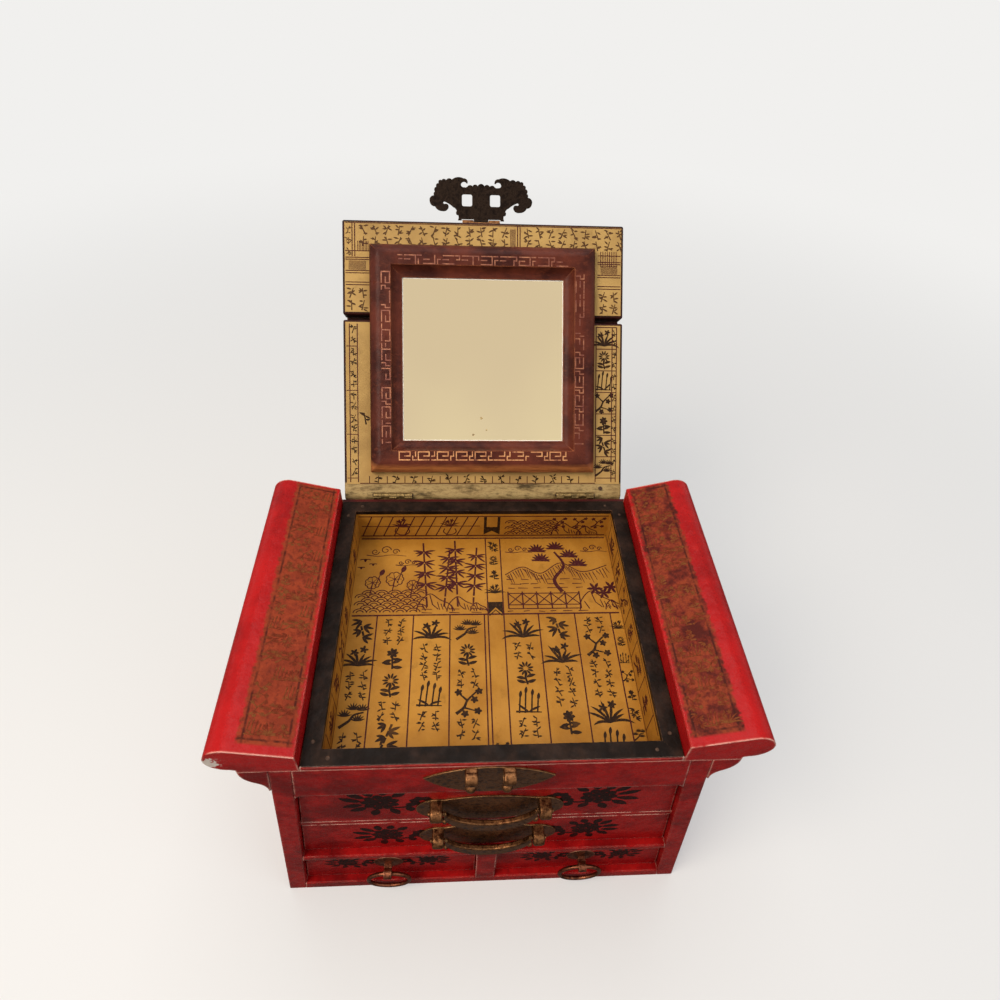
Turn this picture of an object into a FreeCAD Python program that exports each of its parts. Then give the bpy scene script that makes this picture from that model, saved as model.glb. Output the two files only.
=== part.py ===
import FreeCAD, Part
import math
import os

V = FreeCAD.Vector
os.makedirs("parts", exist_ok=True)

# Lacquered makeup box with wings, a well under a two-leaf mirror lid, and four drawers.
# Millimetres. X runs to the right, Y to the back, Z up.
# The origin is the middle of the underside. The lid is shown open, leaning back.

# Rim, body and side boards
rim_w = 175.0  # rim frame and lid, left to right
body_d = 165.0  # side boards, wings and rim, front to back
panel_t = 3.0  # back panel
side_t = 10.5  # side board, measured level
splay_deg = 7.3  # lean of the side boards, wider at the foot
shoulder = 14.0  # from a wing's inner face out to the side board's outer face
arris = 0.8  # rounding of the boards' front edges

# Heights from the foot up
base_h = 9.0  # base board and bottom rail
small_h = 48.0  # opening of the two small drawers
ledge_h = 4.5  # ledge over the small drawers
middle_h = 41.5  # opening of the middle drawer
divider_h = 4.0  # thin divider
upper_h = 50.0  # opening of the upper drawer
rail_h = 30.0  # top rail
rim_t = 3.0  # rim frame
panel_rise = 1.5  # back panel above the side boards
upright_w = 12.0  # upright between the small drawers
haunch_r = 4.5  # round corners under the top rail

# Well
rim_bar = 8.5  # width of the rim's bars
paper_t = 0.4  # printed paper lining
well_depth = 25.0  # rim top to the paper on the floor
floor_t = 4.0  # well floor board
nail_r = 0.8
nail_len = 8.0
nail_from_corner = 12.0
nail_fit = 0.02

# Wings and the ogee mouldings under them
wing_gap = 0.5  # lid's side edge to the wing
wing_edge_h = 10.5  # wing's inner edge above the rim
nose_r = 9.3  # round outer nose
nose_reach = 29.8  # inner face to the nose's centre
lip_reach = 27.5  # inner face to the moulding's top edge
lip_step = 0.8  # small step where the nose ends
ogee_flat = 2.0
ogee_top_r = 13.0
ogee_foot_r = 9.0
ogee_toe = 0.8
ogee_h = 22.0

# Drawers
recess = 4.5  # drawer fronts behind the face
front_t = 8.0
front_gap = 0.6  # round each drawer front
box_gap = 0.8  # drawer sides to the case
run_gap = 0.3  # under each drawer
drawer_side_t = 5.0
drawer_bottom_t = 2.5
drawer_side_drop = 4.0  # drawer sides below the opening's top
drawer_back_gap = 3.0

# Lid
lid_t = 11.0  # leaf with its paper
lid_seat = 0.15  # shut lid above the rim
lid_setback = 0.8  # shut lid's front edge behind the box's face
open_deg = 133.3  # turn from shut to the open stop
split_v = 110.25  # hinge line to the fold, along the lid
split_gap = 3.1  # gap between the two leaves
fold_clear = 0.3  # mirror frame clear of the rear leaf
leaf_round = 1.2
paper_margin = 1.5
bare_foot = 5.0  # bare strip at the foot of the rear leaf

# Lid hinges: a flat leaf on the box, and a strap bent round the lid's rounded foot
hinge_len = 24.0
hinge_inset = 18.0  # lid's side edge to the hinge's end
hinge_off = 2.1  # hinge line behind the back panel
knuckle_r = 1.5
knuckle_clear = 0.3
knuckle_gap = 0.2
hinge_pin_r = 0.7
pin_fit = 0.05
leaf_metal = 1.0
box_leaf_h = 11.0
strap_from_deg = 100.0
strap_to_deg = 205.0
stop_gap = 0.05  # open strap to the box's leaf, which stops the lid

# Fold hinges, on the lid's outer face
fold_len = 26.0
fold_inset = 24.5
fold_metal = 0.8
fold_r = 1.3
fold_pin_r = 0.6
fold_leaf_w = 13.0

# Mirror
mirror_x = -1.0  # the mirror sits a little left
mirror_room = 4.6  # half the spare length of the well round the mirror frame
mirror_back_gap = 0.8  # foot of the frame to the well's back wall, lid shut
band_w = 19.7  # frame member
band_edge_h = 5.0
band_h = 9.4
bevel_w = 6.7
fret_w = 6.6
cove_h = 4.6
rebate = 1.1
rebate_fit = 0.1
glass_t = 3.0
backing_t = 0.8

# Hasp and its eyes on the top rail
hasp_x = -2.0  # hasp and eyes sit a little left
plate_t = 0.8
hasp_t = 1.0
hasp_gap = 0.15
hasp_axis_h = 6.35  # from the lid's paper face into its thickness
strip_w = 23.5
strip_h = 8.0
hasp_middle_w = 9.1  # the hasp's own knuckle
hasp_barrel_r = 1.3
hasp_pin_r = 0.6
hasp_neck = 1.9  # barrel's centre to the plate's straight foot
eye_spacing = 17.6
eye_w = 6.0
eye_r = 3.5
eye_hole_r = 2.4
eye_neck_h = 6.2
eye_round = 1.0
eye_out = 3.55  # eye's centre in front of its plate
eye_drop = 13.1  # eye's centre below the hasp's hinge
slot_clear = 0.3
slot_side_clear = 0.2
slot_round = 1.2
rail_plate_half = 31.0
rail_plate_rise = 10.8  # above the plate's two points
rail_plate_fall = 17.5  # below them
rail_plate_drop = 0.2  # below the top rail's upper edge
stud_r = 2.8
stud_h = 2.2
stud_drop = 21.0  # below the eyes' centre

# Bail pulls of the two wide drawers
pull_out = 5.5  # pivot in front of the drawer face
upper_pull_drop = 26.4  # pivot below the upper front's top edge
middle_pull_drop = 14.4  # pivot below the middle front's top edge
pull_spacing = 56.6
lug_w = 6.6
lug_r = 4.4
lug_round = 1.4
bail_pin_r = 1.2
bail_pin_fit = 0.08
bail_half = 24.2
bail_rise = 3.0  # bail's shoulders above the pivot
bail_inner_drop = 14.8
bail_h = 9.6
bail_t = 3.0
bail_round = 0.9
bail_ball_r = 1.9
bail_ball_inset = 0.4
bail_ball_drop = 10.0
pull_plate_half = 39.0
pull_plate_h = 31.3
pull_plate_drop = 6.4  # plate's centre below the pivot
pull_lobe_r = 12.0  # round ends
pull_oval_half = 30.0  # where the oval runs out into the round ends
pull_oval_end_h = 18.8  # oval's height there
pull_boss_r = 2.5
pull_boss_h = 1.7
pull_boss_drop = 14.0  # below the pivot
tail_w = 3.0
tail_h = 2.4
tail_len = 6.0
tail_fit = 0.05

# Ring pulls of the two small drawers
ring_x = 60.5
ring_drop = 24.0  # plate's centre below the front's top edge
ring_plate_r = 9.25
ring_plate_h = 1.8
ring_out = 6.6
ring_eye_w = 4.6
ring_eye_r = 3.2
ring_neck_h = 4.0
ring_hole_r = 1.8
ring_wire_r = 1.25
ring_mean_r = 12.75

# Places that follow from the sizes
front = -(body_d + panel_t) / 2
back = front + body_d
outer_back = back + panel_t
z_ledge = base_h + small_h
z_middle = z_ledge + ledge_h
z_divider = z_middle + middle_h
z_upper = z_divider + divider_h
z_rail = z_upper + upper_h
z_top = z_rail + rail_h
rim_top = z_top + rim_t
wing_in = rim_w / 2 + wing_gap
side_top = wing_in + shoulder
lean = math.tan(math.radians(splay_deg))
wall_t = rim_bar - paper_t
well_half = rim_w / 2 - rim_bar
well_front = front + rim_bar
well_back = back - rim_bar
floor_top = rim_top - well_depth - paper_t
face_y = front + recess
axis_y = outer_back + hinge_off
axis_z = rim_top
lid_in = rim_top + lid_seat
foot_r = (lid_t - paper_t - fold_clear) / 2
foot_h = paper_t + fold_clear + foot_r
foot_reach = 2 * leaf_metal + stop_gap + foot_r - hinge_off
foot_reach -= math.sin(math.radians(open_deg)) * (lid_seat + foot_h)
foot_v = -foot_reach / math.cos(math.radians(open_deg))
lid_end = axis_y - front - lid_setback
rear_end = split_v - split_gap / 2
front_start = split_v + split_gap / 2
mirror_out = 2 * min(well_half, (well_back - well_front) / 2) - 2 * mirror_room
mirror_v = axis_y - well_back + mirror_back_gap + mirror_out / 2
mirror_seen = mirror_out - 2 * band_w
glass_size = mirror_seen + 2 * (rebate - rebate_fit)
hasp_axis_v = axis_y - front + plate_t + hasp_gap + hasp_t / 2
eye_z = lid_in + hasp_axis_h - eye_drop


def side_out(z):
    return side_top + (z_top - z) * lean


def side_in(z):
    return side_out(z) - side_t


def block(x0, x1, y0, y1, z0, z1):
    return Part.makeBox(x1 - x0, y1 - y0, z1 - z0, V(x0, y0, z0))


def prism(points, sweep):
    return Part.Face(Part.makePolygon(points + [points[0]])).extrude(sweep)


def rod(radius, x0, x1, y, z):
    return Part.makeCylinder(radius, x1 - x0, V(x0, y, z), V(1, 0, 0))


def line(a, b):
    return Part.LineSegment(a, b).toShape()


def arc(a, b, c):
    return Part.Arc(a, b, c).toShape()


def solid_of(edges, sweep):
    return Part.Face(Part.Wire(edges)).extrude(sweep)


def mirrored(shape):
    return shape.mirror(V(0, 0, 0), V(1, 0, 0))


def fuse(shapes):
    return shapes[0].multiFuse(shapes[1:]).removeSplitter()


def rounded(shape, radius, test):
    """Rounds the edges whose middle point passes the test."""
    chosen = [e for e in shape.Edges if test(e.CenterOfMass, e)]
    return shape.makeFillet(radius, chosen)


def is_straight_along(edge, axis):
    if len(edge.Vertexes) < 2:
        return False
    run = edge.Vertexes[1].Point - edge.Vertexes[0].Point
    return abs(run.normalize().dot(axis)) > 0.95


def same(a, b):
    return abs(a - b) < 1e-4


def board(half, z0, z1, y0, y1):
    """A board from side to side between the leaning sides."""
    corners = [
        V(-half(z0), y0, z0),
        V(half(z0), y0, z0),
        V(half(z1), y0, z1),
        V(-half(z1), y0, z1),
    ]
    return prism(corners, V(0, y1 - y0, 0))


def side_board():
    corners = [
        V(side_in(0), front, 0),
        V(side_out(0), front, 0),
        V(side_out(z_top), front, z_top),
        V(side_in(z_top), front, z_top),
    ]
    blank = prism(corners, V(0, body_d, 0))
    return rounded(
        blank,
        arris,
        lambda p, e: same(p.y, front) and is_straight_along(e, V(0, 0, 1)),
    )


def back_panel():
    top = z_top + panel_rise
    corners = [
        V(-side_out(0), back, 0),
        V(side_out(0), back, 0),
        V(side_out(z_top), back, z_top),
        V(side_out(z_top), back, top),
        V(-side_out(z_top), back, top),
        V(-side_out(z_top), back, z_top),
    ]
    return prism(corners, V(0, panel_t, 0))


def front_edge_rounded(shape, y, z):
    return rounded(
        shape,
        arris,
        lambda p, e: same(p.y, y) and same(p.z, z) and is_straight_along(e, V(1, 0, 0)),
    )


def upper_opening(gap, y0, y1):
    """The upper drawer's opening, less a gap all round, with its round top corners."""

    def half(z):
        return side_in(z) - gap

    blank = board(half, z_upper + gap, z_rail - gap, y0, y1)
    return rounded(
        blank,
        haunch_r - gap,
        lambda p, e: same(p.z, z_rail - gap) and is_straight_along(e, V(0, 1, 0)),
    )


def top_rail():
    rail = board(side_in, z_rail, z_top, front, front + wall_t)
    haunches = board(
        side_in, z_rail - haunch_r, z_rail, front, front + recess - run_gap
    )
    haunches = haunches.cut(upper_opening(0, front - 1, back))
    return fuse([rail] + haunches.Solids)


def bottom_rail():
    rail = board(side_in, 0, base_h, front, front + wall_t)
    return front_edge_rounded(rail, front, base_h)


def base_board():
    return board(side_in, 0, base_h, front + wall_t, back)


def drawer_divider():
    return board(side_in, z_divider, z_upper, face_y, back)


def drawer_ledge():
    shelf = board(side_in, z_ledge, z_middle, front, back)
    return front_edge_rounded(shelf, front, z_middle)


def centre_upright():
    return block(-upright_w / 2, upright_w / 2, front, back, base_h, z_ledge)


def wing():
    """The right wing: a sloping top that ends in a round nose."""
    inner = V(wing_in, front, rim_top + wing_edge_h)
    centre = V(wing_in + nose_reach, front, rim_top + nose_r)
    reach = (centre - inner).Length
    slope = math.atan2(centre.z - inner.z, centre.x - inner.x)
    slope += math.asin(nose_r / reach)
    run = math.sqrt(reach * reach - nose_r * nose_r)
    crest = inner + V(run * math.cos(slope), 0, run * math.sin(slope))
    tip = centre + V(nose_r, 0, 0)
    under = centre - V(0, 0, nose_r)
    lip = V(wing_in + lip_reach, front, rim_top - lip_step)
    foot = V(lip.x, front, z_top)
    heel = V(wing_in, front, z_top)
    edges = [
        line(inner, crest),
        arc(crest, tip, under),
        line(under, lip),
        line(lip, foot),
        line(foot, heel),
        line(heel, inner),
    ]
    blank = solid_of(edges, V(0, body_d, 0))
    return rounded(
        blank,
        arris,
        lambda p, e: (
            same(p.x, inner.x) and same(p.z, inner.z) and is_straight_along(e, V(0, 1, 0))
        ),
    )


def corbel():
    """The right ogee moulding, between the wing and the side board."""
    x0 = wing_in + lip_reach
    z0 = z_top - ogee_flat
    z_foot = z_top - ogee_h
    x_toe = side_out(z_foot) + ogee_toe
    both = ogee_top_r + ogee_foot_r
    turn = math.acos(1 - (x0 - x_toe) / both)

    def on_top(angle):
        return V(
            x0 - ogee_top_r * (1 - math.cos(angle)),
            front,
            z0 - ogee_top_r * math.sin(angle),
        )

    def on_foot(angle):
        return V(
            x_toe + ogee_foot_r * (1 - math.cos(angle)),
            front,
            z0 - both * math.sin(turn) + ogee_foot_r * math.sin(angle),
        )

    top_in = V(side_out(z_top), front, z_top)
    top_out = V(x0, front, z_top)
    toe = V(x_toe, front, z_foot)
    foot = V(side_out(z_foot), front, z_foot)
    edges = [
        line(top_in, top_out),
        line(top_out, on_top(0)),
        arc(on_top(0), on_top(turn / 2), on_top(turn)),
        arc(on_foot(turn), on_foot(turn / 2), on_foot(0)),
        line(on_foot(0), toe),
        line(toe, foot),
        line(foot, top_in),
    ]
    return solid_of(edges, V(0, body_d, 0))


def nail_places():
    side = rim_w / 2 - rim_bar / 2
    ends = [front + rim_bar / 2, back - rim_bar / 2]
    inner = [front + nail_from_corner, back - nail_from_corner]
    places = []
    for sign in (-1, 1):
        for y in ends:
            places.append(V(sign * (rim_w / 2 - nail_from_corner), y, 0))
        for y in inner:
            places.append(V(sign * side, y, 0))
    return places


def nails(radius):
    bottom = rim_top - nail_len
    return [
        Part.makeCylinder(radius, nail_len, V(p.x, p.y, bottom)) for p in nail_places()
    ]


def rim_frame():
    """Four mitred bars with rounded outer edges."""
    outer_x = rim_w / 2
    inner_x = well_half
    holes = nails(nail_r + nail_fit)
    bars = []
    for y_out, y_in in ((front, well_front), (back, well_back)):
        corners = [
            V(-outer_x, y_out, z_top),
            V(outer_x, y_out, z_top),
            V(inner_x, y_in, z_top),
            V(-inner_x, y_in, z_top),
        ]
        bar = prism(corners, V(0, 0, rim_t))
        bar = front_edge_rounded(bar, y_out, rim_top)
        bars.append(bar.cut(Part.makeCompound(holes)))
    for sign in (-1, 1):
        corners = [
            V(sign * outer_x, front, z_top),
            V(sign * outer_x, back, z_top),
            V(sign * inner_x, well_back, z_top),
            V(sign * inner_x, well_front, z_top),
        ]
        bar = prism(corners, V(0, 0, rim_t))
        bars.append(bar.cut(Part.makeCompound(holes)))
    return Part.makeCompound(bars)


def well_walls():
    """Two side walls and a back wall. The top rail is the front wall."""
    outer_x = rim_w / 2
    inner_x = well_half + paper_t
    y0 = front + wall_t
    y1 = back - wall_t
    walls = [
        block(-outer_x, -inner_x, y0, back, floor_top, z_top),
        block(inner_x, outer_x, y0, back, floor_top, z_top),
        block(-inner_x, inner_x, y1, back, floor_top, z_top),
    ]
    holes = Part.makeCompound(nails(nail_r + nail_fit))
    return Part.makeCompound([w.cut(holes) for w in walls])


def well_floor():
    return board(side_in, floor_top - floor_t, floor_top, front + wall_t, back)


def well_lining():
    outer_x = well_half + paper_t
    paper = block(
        -outer_x, outer_x, front + wall_t, back - wall_t, floor_top, z_top
    )
    hollow = block(
        -well_half, well_half, well_front, well_back, floor_top + paper_t, z_top + 1
    )
    return paper.cut(hollow)


def top_rail_with_nail_holes():
    return top_rail().cut(Part.makeCompound(nails(nail_r + nail_fit)))


def oval(half, end_h, rise, fall, z, y0, y1):
    """A plate between two arcs. Without an end height, its ends are points at z."""
    corners = [
        V(-half, y0, z + end_h / 2),
        V(half, y0, z + end_h / 2),
        V(half, y0, z - end_h / 2),
        V(-half, y0, z - end_h / 2),
    ]
    edges = [
        arc(corners[0], V(0, y0, z + rise), corners[1]),
        arc(corners[2], V(0, y0, z - fall), corners[3]),
    ]
    if end_h > 0:
        edges.insert(1, line(corners[1], corners[2]))
        edges.append(line(corners[3], corners[0]))
    return solid_of(edges, V(0, y1 - y0, 0))


def disc(radius, x, z, y0, y1):
    return Part.makeCylinder(radius, y1 - y0, V(x, y0, z), V(0, 1, 0))


def at_x(shape, x):
    moved = shape.copy()
    moved.translate(V(x, 0, 0))
    return moved


def lug(width, radius, neck_h, y_plate, y_wood, y, z, hole_r, soft):
    """An eye: a round nose on a neck, drilled from side to side, with a tail into the wood."""
    nose = rod(radius, -width / 2, width / 2, y, z)
    if soft > 0:
        nose = nose.makeFillet(soft, [e for e in nose.Edges if e.Closed])
    neck = block(-width / 2, width / 2, y, y_plate, z - neck_h / 2, z + neck_h / 2)
    if soft > 0:
        neck = rounded(
            neck,
            soft,
            lambda p, e: same(abs(p.x), width / 2) and is_straight_along(e, V(0, 1, 0)),
        )
    tail = block(
        -tail_w / 2, tail_w / 2, y, y_wood + tail_len, z - tail_h / 2, z + tail_h / 2
    )
    whole = fuse([nose, neck, tail])
    return whole.cut(rod(hole_r, -width, width, y, z))


def tail_hole(x, y_wood, z):
    w = tail_w / 2 + tail_fit
    h = tail_h / 2 + tail_fit
    return block(x - w, x + w, y_wood - ring_out, y_wood + tail_len + 0.5, z - h, z + h)


def rail_eye_xs():
    return [hasp_x - eye_spacing / 2, hasp_x + eye_spacing / 2]


def drilled_top_rail():
    rail = top_rail_with_nail_holes()
    for x in rail_eye_xs():
        rail = rail.cut(tail_hole(x, front, eye_z))
    return rail


def rail_plate():
    z = z_top - rail_plate_drop - rail_plate_rise
    plate = oval(
        rail_plate_half, 0, rail_plate_rise, rail_plate_fall, z, front - plate_t, front
    )
    plate = at_x(plate, hasp_x)
    for x in rail_eye_xs():
        plate = plate.cut(tail_hole(x, front, eye_z))
    return plate


def rail_eyes():
    y_plate = front - plate_t
    eye = lug(
        eye_w,
        eye_r,
        eye_neck_h,
        y_plate,
        front,
        y_plate - eye_out,
        eye_z,
        eye_hole_r,
        eye_round,
    )
    return Part.makeCompound([at_x(eye, x) for x in rail_eye_xs()])


def dome(radius, height, x, y, z):
    """A dome that stands out to the front from a flat foot at y."""
    ball_r = (radius * radius + height * height) / (2 * height)
    ball = Part.makeSphere(ball_r, V(x, y - height + ball_r, z))
    reach = 2 * ball_r
    keep = block(x - reach, x + reach, y - reach, y, z - reach, z + reach)
    return ball.common(keep)


def rail_studs():
    y_plate = front - plate_t
    z = eye_z - stud_drop
    return Part.makeCompound([dome(stud_r, stud_h, x, y_plate, z) for x in rail_eye_xs()])


def hinge_centres():
    reach = rim_w / 2 - hinge_inset - hinge_len / 2
    return [-reach, reach]


def knuckle_spans(centre, length, count):
    step = length / count
    spans = []
    for i in range(count):
        x0 = centre - length / 2 + i * step
        spans.append((x0 + knuckle_gap / 2, x0 + step - knuckle_gap / 2))
    return spans


def box_hinge_leaf(centre):
    """The leaf on the back panel, with three of the five knuckles."""
    y1 = outer_back + leaf_metal
    near = axis_z - knuckle_r - knuckle_clear
    x0 = centre - hinge_len / 2
    parts = [
        block(x0, x0 + hinge_len, outer_back, y1, axis_z - box_leaf_h, near),
    ]
    for i, (x0, x1) in enumerate(knuckle_spans(centre, hinge_len, 5)):
        if i % 2 == 0:
            parts.append(rod(knuckle_r, x0, x1, axis_y, axis_z))
            parts.append(block(x0, x1, outer_back, y1, near, axis_z))
    return fuse(parts).cut(pin_bore(centre))


def ring_sector(x0, x1, from_deg, to_deg):
    """Part of a tube round the middle of the lid's rounded foot, in the lid's frame."""
    inner = rod(foot_r, x0 - 1, x1 + 1, foot_v, -foot_h)
    tube = rod(foot_r + leaf_metal, x0, x1, foot_v, -foot_h).cut(inner)
    far = 3 * foot_r
    fan = [V(x0 - 1, foot_v, -foot_h)]
    steps = 6
    for i in range(steps + 1):
        turn = math.radians(from_deg + (to_deg - from_deg) * i / steps)
        fan.append(V(x0 - 1, foot_v + far * math.cos(turn), -foot_h + far * math.sin(turn)))
    return tube.common(prism(fan, V(x1 - x0 + 2, 0, 0)))


def lid_hinge_strap(centre):
    """The strap round the lid's foot, with two knuckles."""
    x0 = centre - hinge_len / 2
    axis_h = lid_seat
    strap = ring_sector(x0, x0 + hinge_len, strap_from_deg, strap_to_deg)
    room = rod(knuckle_r + knuckle_clear, x0 - 1, x0 + hinge_len + 1, 0, axis_h)
    parts = [strap.cut(room)]
    for i, (x0, x1) in enumerate(knuckle_spans(centre, hinge_len, 5)):
        if i % 2:
            parts.append(rod(knuckle_r, x0, x1, 0, axis_h))
            parts.append(ring_sector(x0, x1, strap_from_deg, (strap_from_deg + strap_to_deg) / 2))
    return on_lid(fuse(parts)).cut(pin_bore(centre))


def pin_bore(centre):
    bore = hinge_pin_r + pin_fit
    return rod(bore, centre - hinge_len, centre + hinge_len, axis_y, axis_z)


def lid_hinge_box_leaves():
    return Part.makeCompound([box_hinge_leaf(c) for c in hinge_centres()])


def lid_hinge_straps():
    return Part.makeCompound([lid_hinge_strap(c) for c in hinge_centres()])


def lid_hinge_pins():
    half = hinge_len / 2 + 0.6
    return Part.makeCompound(
        [rod(hinge_pin_r, c - half, c + half, axis_y, axis_z) for c in hinge_centres()]
    )


def turned_open(shape):
    placed = shape.copy()
    placed.rotate(V(0, axis_y, axis_z), V(1, 0, 0), -open_deg)
    return placed


def on_lid(shape):
    """From the lid's own frame to the open pose.

    In the lid's frame X is to the right, Y is the distance from the hinge line,
    and Z is the height above the papered face, so the lid's outer face is below 0.
    """
    placed = shape.copy()
    placed.rotate(V(0, 0, 0), V(1, 0, 0), 180)
    placed.translate(V(0, axis_y, lid_in))
    return turned_open(placed)


def lid_rear_leaf():
    """The leaf at the hinges. Its foot is fully rounded and notched for the knuckles."""
    top = -fold_clear - paper_t
    x0 = -rim_w / 2
    corners = [
        V(x0, foot_v, top),
        V(x0, foot_v - foot_r, -foot_h),
        V(x0, foot_v, -lid_t),
        V(x0, rear_end, -lid_t),
        V(x0, rear_end, top),
    ]
    edges = [
        arc(corners[0], corners[1], corners[2]),
        line(corners[2], corners[3]),
        line(corners[3], corners[4]),
        line(corners[4], corners[0]),
    ]
    blank = solid_of(edges, V(rim_w, 0, 0))
    blank = rounded(
        blank,
        leaf_round,
        lambda p, e: not (same(p.y, foot_v) and is_straight_along(e, V(1, 0, 0))),
    )
    for centre in hinge_centres():
        x0 = centre - hinge_len / 2 - knuckle_gap
        x1 = centre + hinge_len / 2 + knuckle_gap
        blank = blank.cut(rod(knuckle_r + knuckle_clear, x0, x1, 0, lid_seat))
    return on_lid(blank)


def lid_front_leaf():
    x0 = -rim_w / 2
    blank = block(x0, -x0, front_start, lid_end, -lid_t, -paper_t)
    return on_lid(blank.makeFillet(leaf_round, blank.Edges))


def leaf_paper(v0, v1, bottom):
    half = rim_w / 2 - paper_margin
    return on_lid(block(-half, half, v0, v1, bottom, bottom + paper_t))


def lid_rear_paper():
    return leaf_paper(
        hinge_off + bare_foot, rear_end - paper_margin, -fold_clear - paper_t
    )


def lid_front_paper():
    return leaf_paper(front_start + paper_margin, lid_end - paper_margin, -paper_t)


def fold_axis_h():
    return -lid_t - fold_metal / 2


def fold_centres():
    reach = rim_w / 2 - fold_inset - fold_len / 2
    return [-reach, reach]


def fold_leaves(sign, wanted):
    """Leaves of the fold hinges, to the rear (-1) or to the front (1) of the fold."""
    near = split_v + sign * (fold_r + knuckle_clear)
    far = split_v + sign * fold_leaf_w
    low = -lid_t - fold_metal
    leaves = []
    for centre in fold_centres():
        parts = [
            block(
                centre - fold_len / 2,
                centre + fold_len / 2,
                min(near, far),
                max(near, far),
                low,
                -lid_t,
            )
        ]
        for i, (x0, x1) in enumerate(knuckle_spans(centre, fold_len, 3)):
            if i in wanted:
                parts.append(rod(fold_r, x0, x1, split_v, fold_axis_h()))
                v0 = min(split_v, near)
                v1 = max(split_v, near)
                parts.append(block(x0, x1, v0, v1, low, -lid_t))
        bore = rod(
            fold_pin_r + pin_fit,
            centre - fold_len,
            centre + fold_len,
            split_v,
            fold_axis_h(),
        )
        leaves.append(on_lid(fuse(parts).cut(bore)))
    return Part.makeCompound(leaves)


def fold_hinge_pins():
    half = fold_len / 2
    pins = [
        rod(fold_pin_r, c - half, c + half, split_v, fold_axis_h())
        for c in fold_centres()
    ]
    return on_lid(Part.makeCompound(pins))


def mirror_member():
    """One mitred member of the mirror frame, at its foot side, centred on x = 0.

    The face runs from the outer edge: a convex bevel, the flat fret band, a cove
    and the rebate for the glass.
    """
    half = mirror_out / 2
    glass_face = backing_t + glass_t
    cove_from = bevel_w + fret_w
    rebate_at = band_w - rebate
    lip = glass_face + rebate_fit

    def at(u, h):
        return V(-half, u - half, h)

    edges = [
        line(at(0, 0), at(0, band_edge_h)),
        arc(
            at(0, band_edge_h),
            at(0.4 * bevel_w, band_edge_h + 0.72 * (band_h - band_edge_h)),
            at(bevel_w, band_h),
        ),
        line(at(bevel_w, band_h), at(cove_from, band_h)),
        arc(
            at(cove_from, band_h),
            at(cove_from + 0.3 * (band_w - cove_from), cove_h + 0.4 * (band_h - cove_h)),
            at(band_w, cove_h),
        ),
        line(at(band_w, cove_h), at(band_w, lip)),
        line(at(band_w, lip), at(rebate_at, lip)),
        line(at(rebate_at, lip), at(rebate_at, 0)),
        line(at(rebate_at, 0), at(0, 0)),
    ]
    bar = solid_of(edges, V(mirror_out, 0, 0))
    inner = half - band_w
    mitre = prism(
        [
            V(-half, -half, -1),
            V(half, -half, -1),
            V(inner, -inner, -1),
            V(-inner, -inner, -1),
        ],
        V(0, 0, band_h + 2),
    )
    return bar.common(mitre)


def at_mirror(shape):
    placed = shape.copy()
    placed.translate(V(mirror_x, mirror_v, 0))
    return on_lid(placed)


def mirror_frame():
    members = []
    for quarter in range(4):
        member = mirror_member()
        member.rotate(V(0, 0, 0), V(0, 0, 1), 90 * quarter)
        members.append(member)
    return at_mirror(Part.makeCompound(members))


def mirror_sheet(z0, z1):
    half = glass_size / 2
    return at_mirror(block(-half, half, -half, half, z0, z1))


def mirror_glass():
    return mirror_sheet(backing_t, backing_t + glass_t)


def mirror_backing():
    return mirror_sheet(0, backing_t)


def hasp_knuckles():
    """Spans of the strip's left knuckle, the hasp's own, and the strip's right one."""
    inner = hasp_middle_w / 2
    outer = strip_w / 2
    return [
        (hasp_x - outer, hasp_x - inner - knuckle_gap),
        (hasp_x - inner, hasp_x + inner),
        (hasp_x + inner + knuckle_gap, hasp_x + outer),
    ]


def hasp_bore():
    bore = hasp_pin_r + pin_fit
    return rod(bore, hasp_x - strip_w, hasp_x + strip_w, hasp_axis_v, -hasp_axis_h)


def hasp_hinge():
    """The strip on the lid's front edge, with its two knuckles, and the pin."""
    strip = block(
        hasp_x - strip_w / 2,
        hasp_x + strip_w / 2,
        lid_end,
        lid_end + plate_t,
        -hasp_axis_h - strip_h / 2,
        -hasp_axis_h + strip_h / 2,
    )
    parts = [strip]
    for i, (x0, x1) in enumerate(hasp_knuckles()):
        if i != 1:
            parts.append(rod(hasp_barrel_r, x0, x1, hasp_axis_v, -hasp_axis_h))
            parts.append(
                block(
                    x0,
                    x1,
                    lid_end,
                    hasp_axis_v,
                    -hasp_axis_h - hasp_t / 2,
                    -hasp_axis_h + hasp_t / 2,
                )
            )
    strip = fuse(parts).cut(hasp_bore())
    x0 = hasp_x - strip_w / 2
    pin = rod(hasp_pin_r, x0, x0 + strip_w, hasp_axis_v, -hasp_axis_h)
    return on_lid(Part.makeCompound([strip, pin]))


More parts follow.
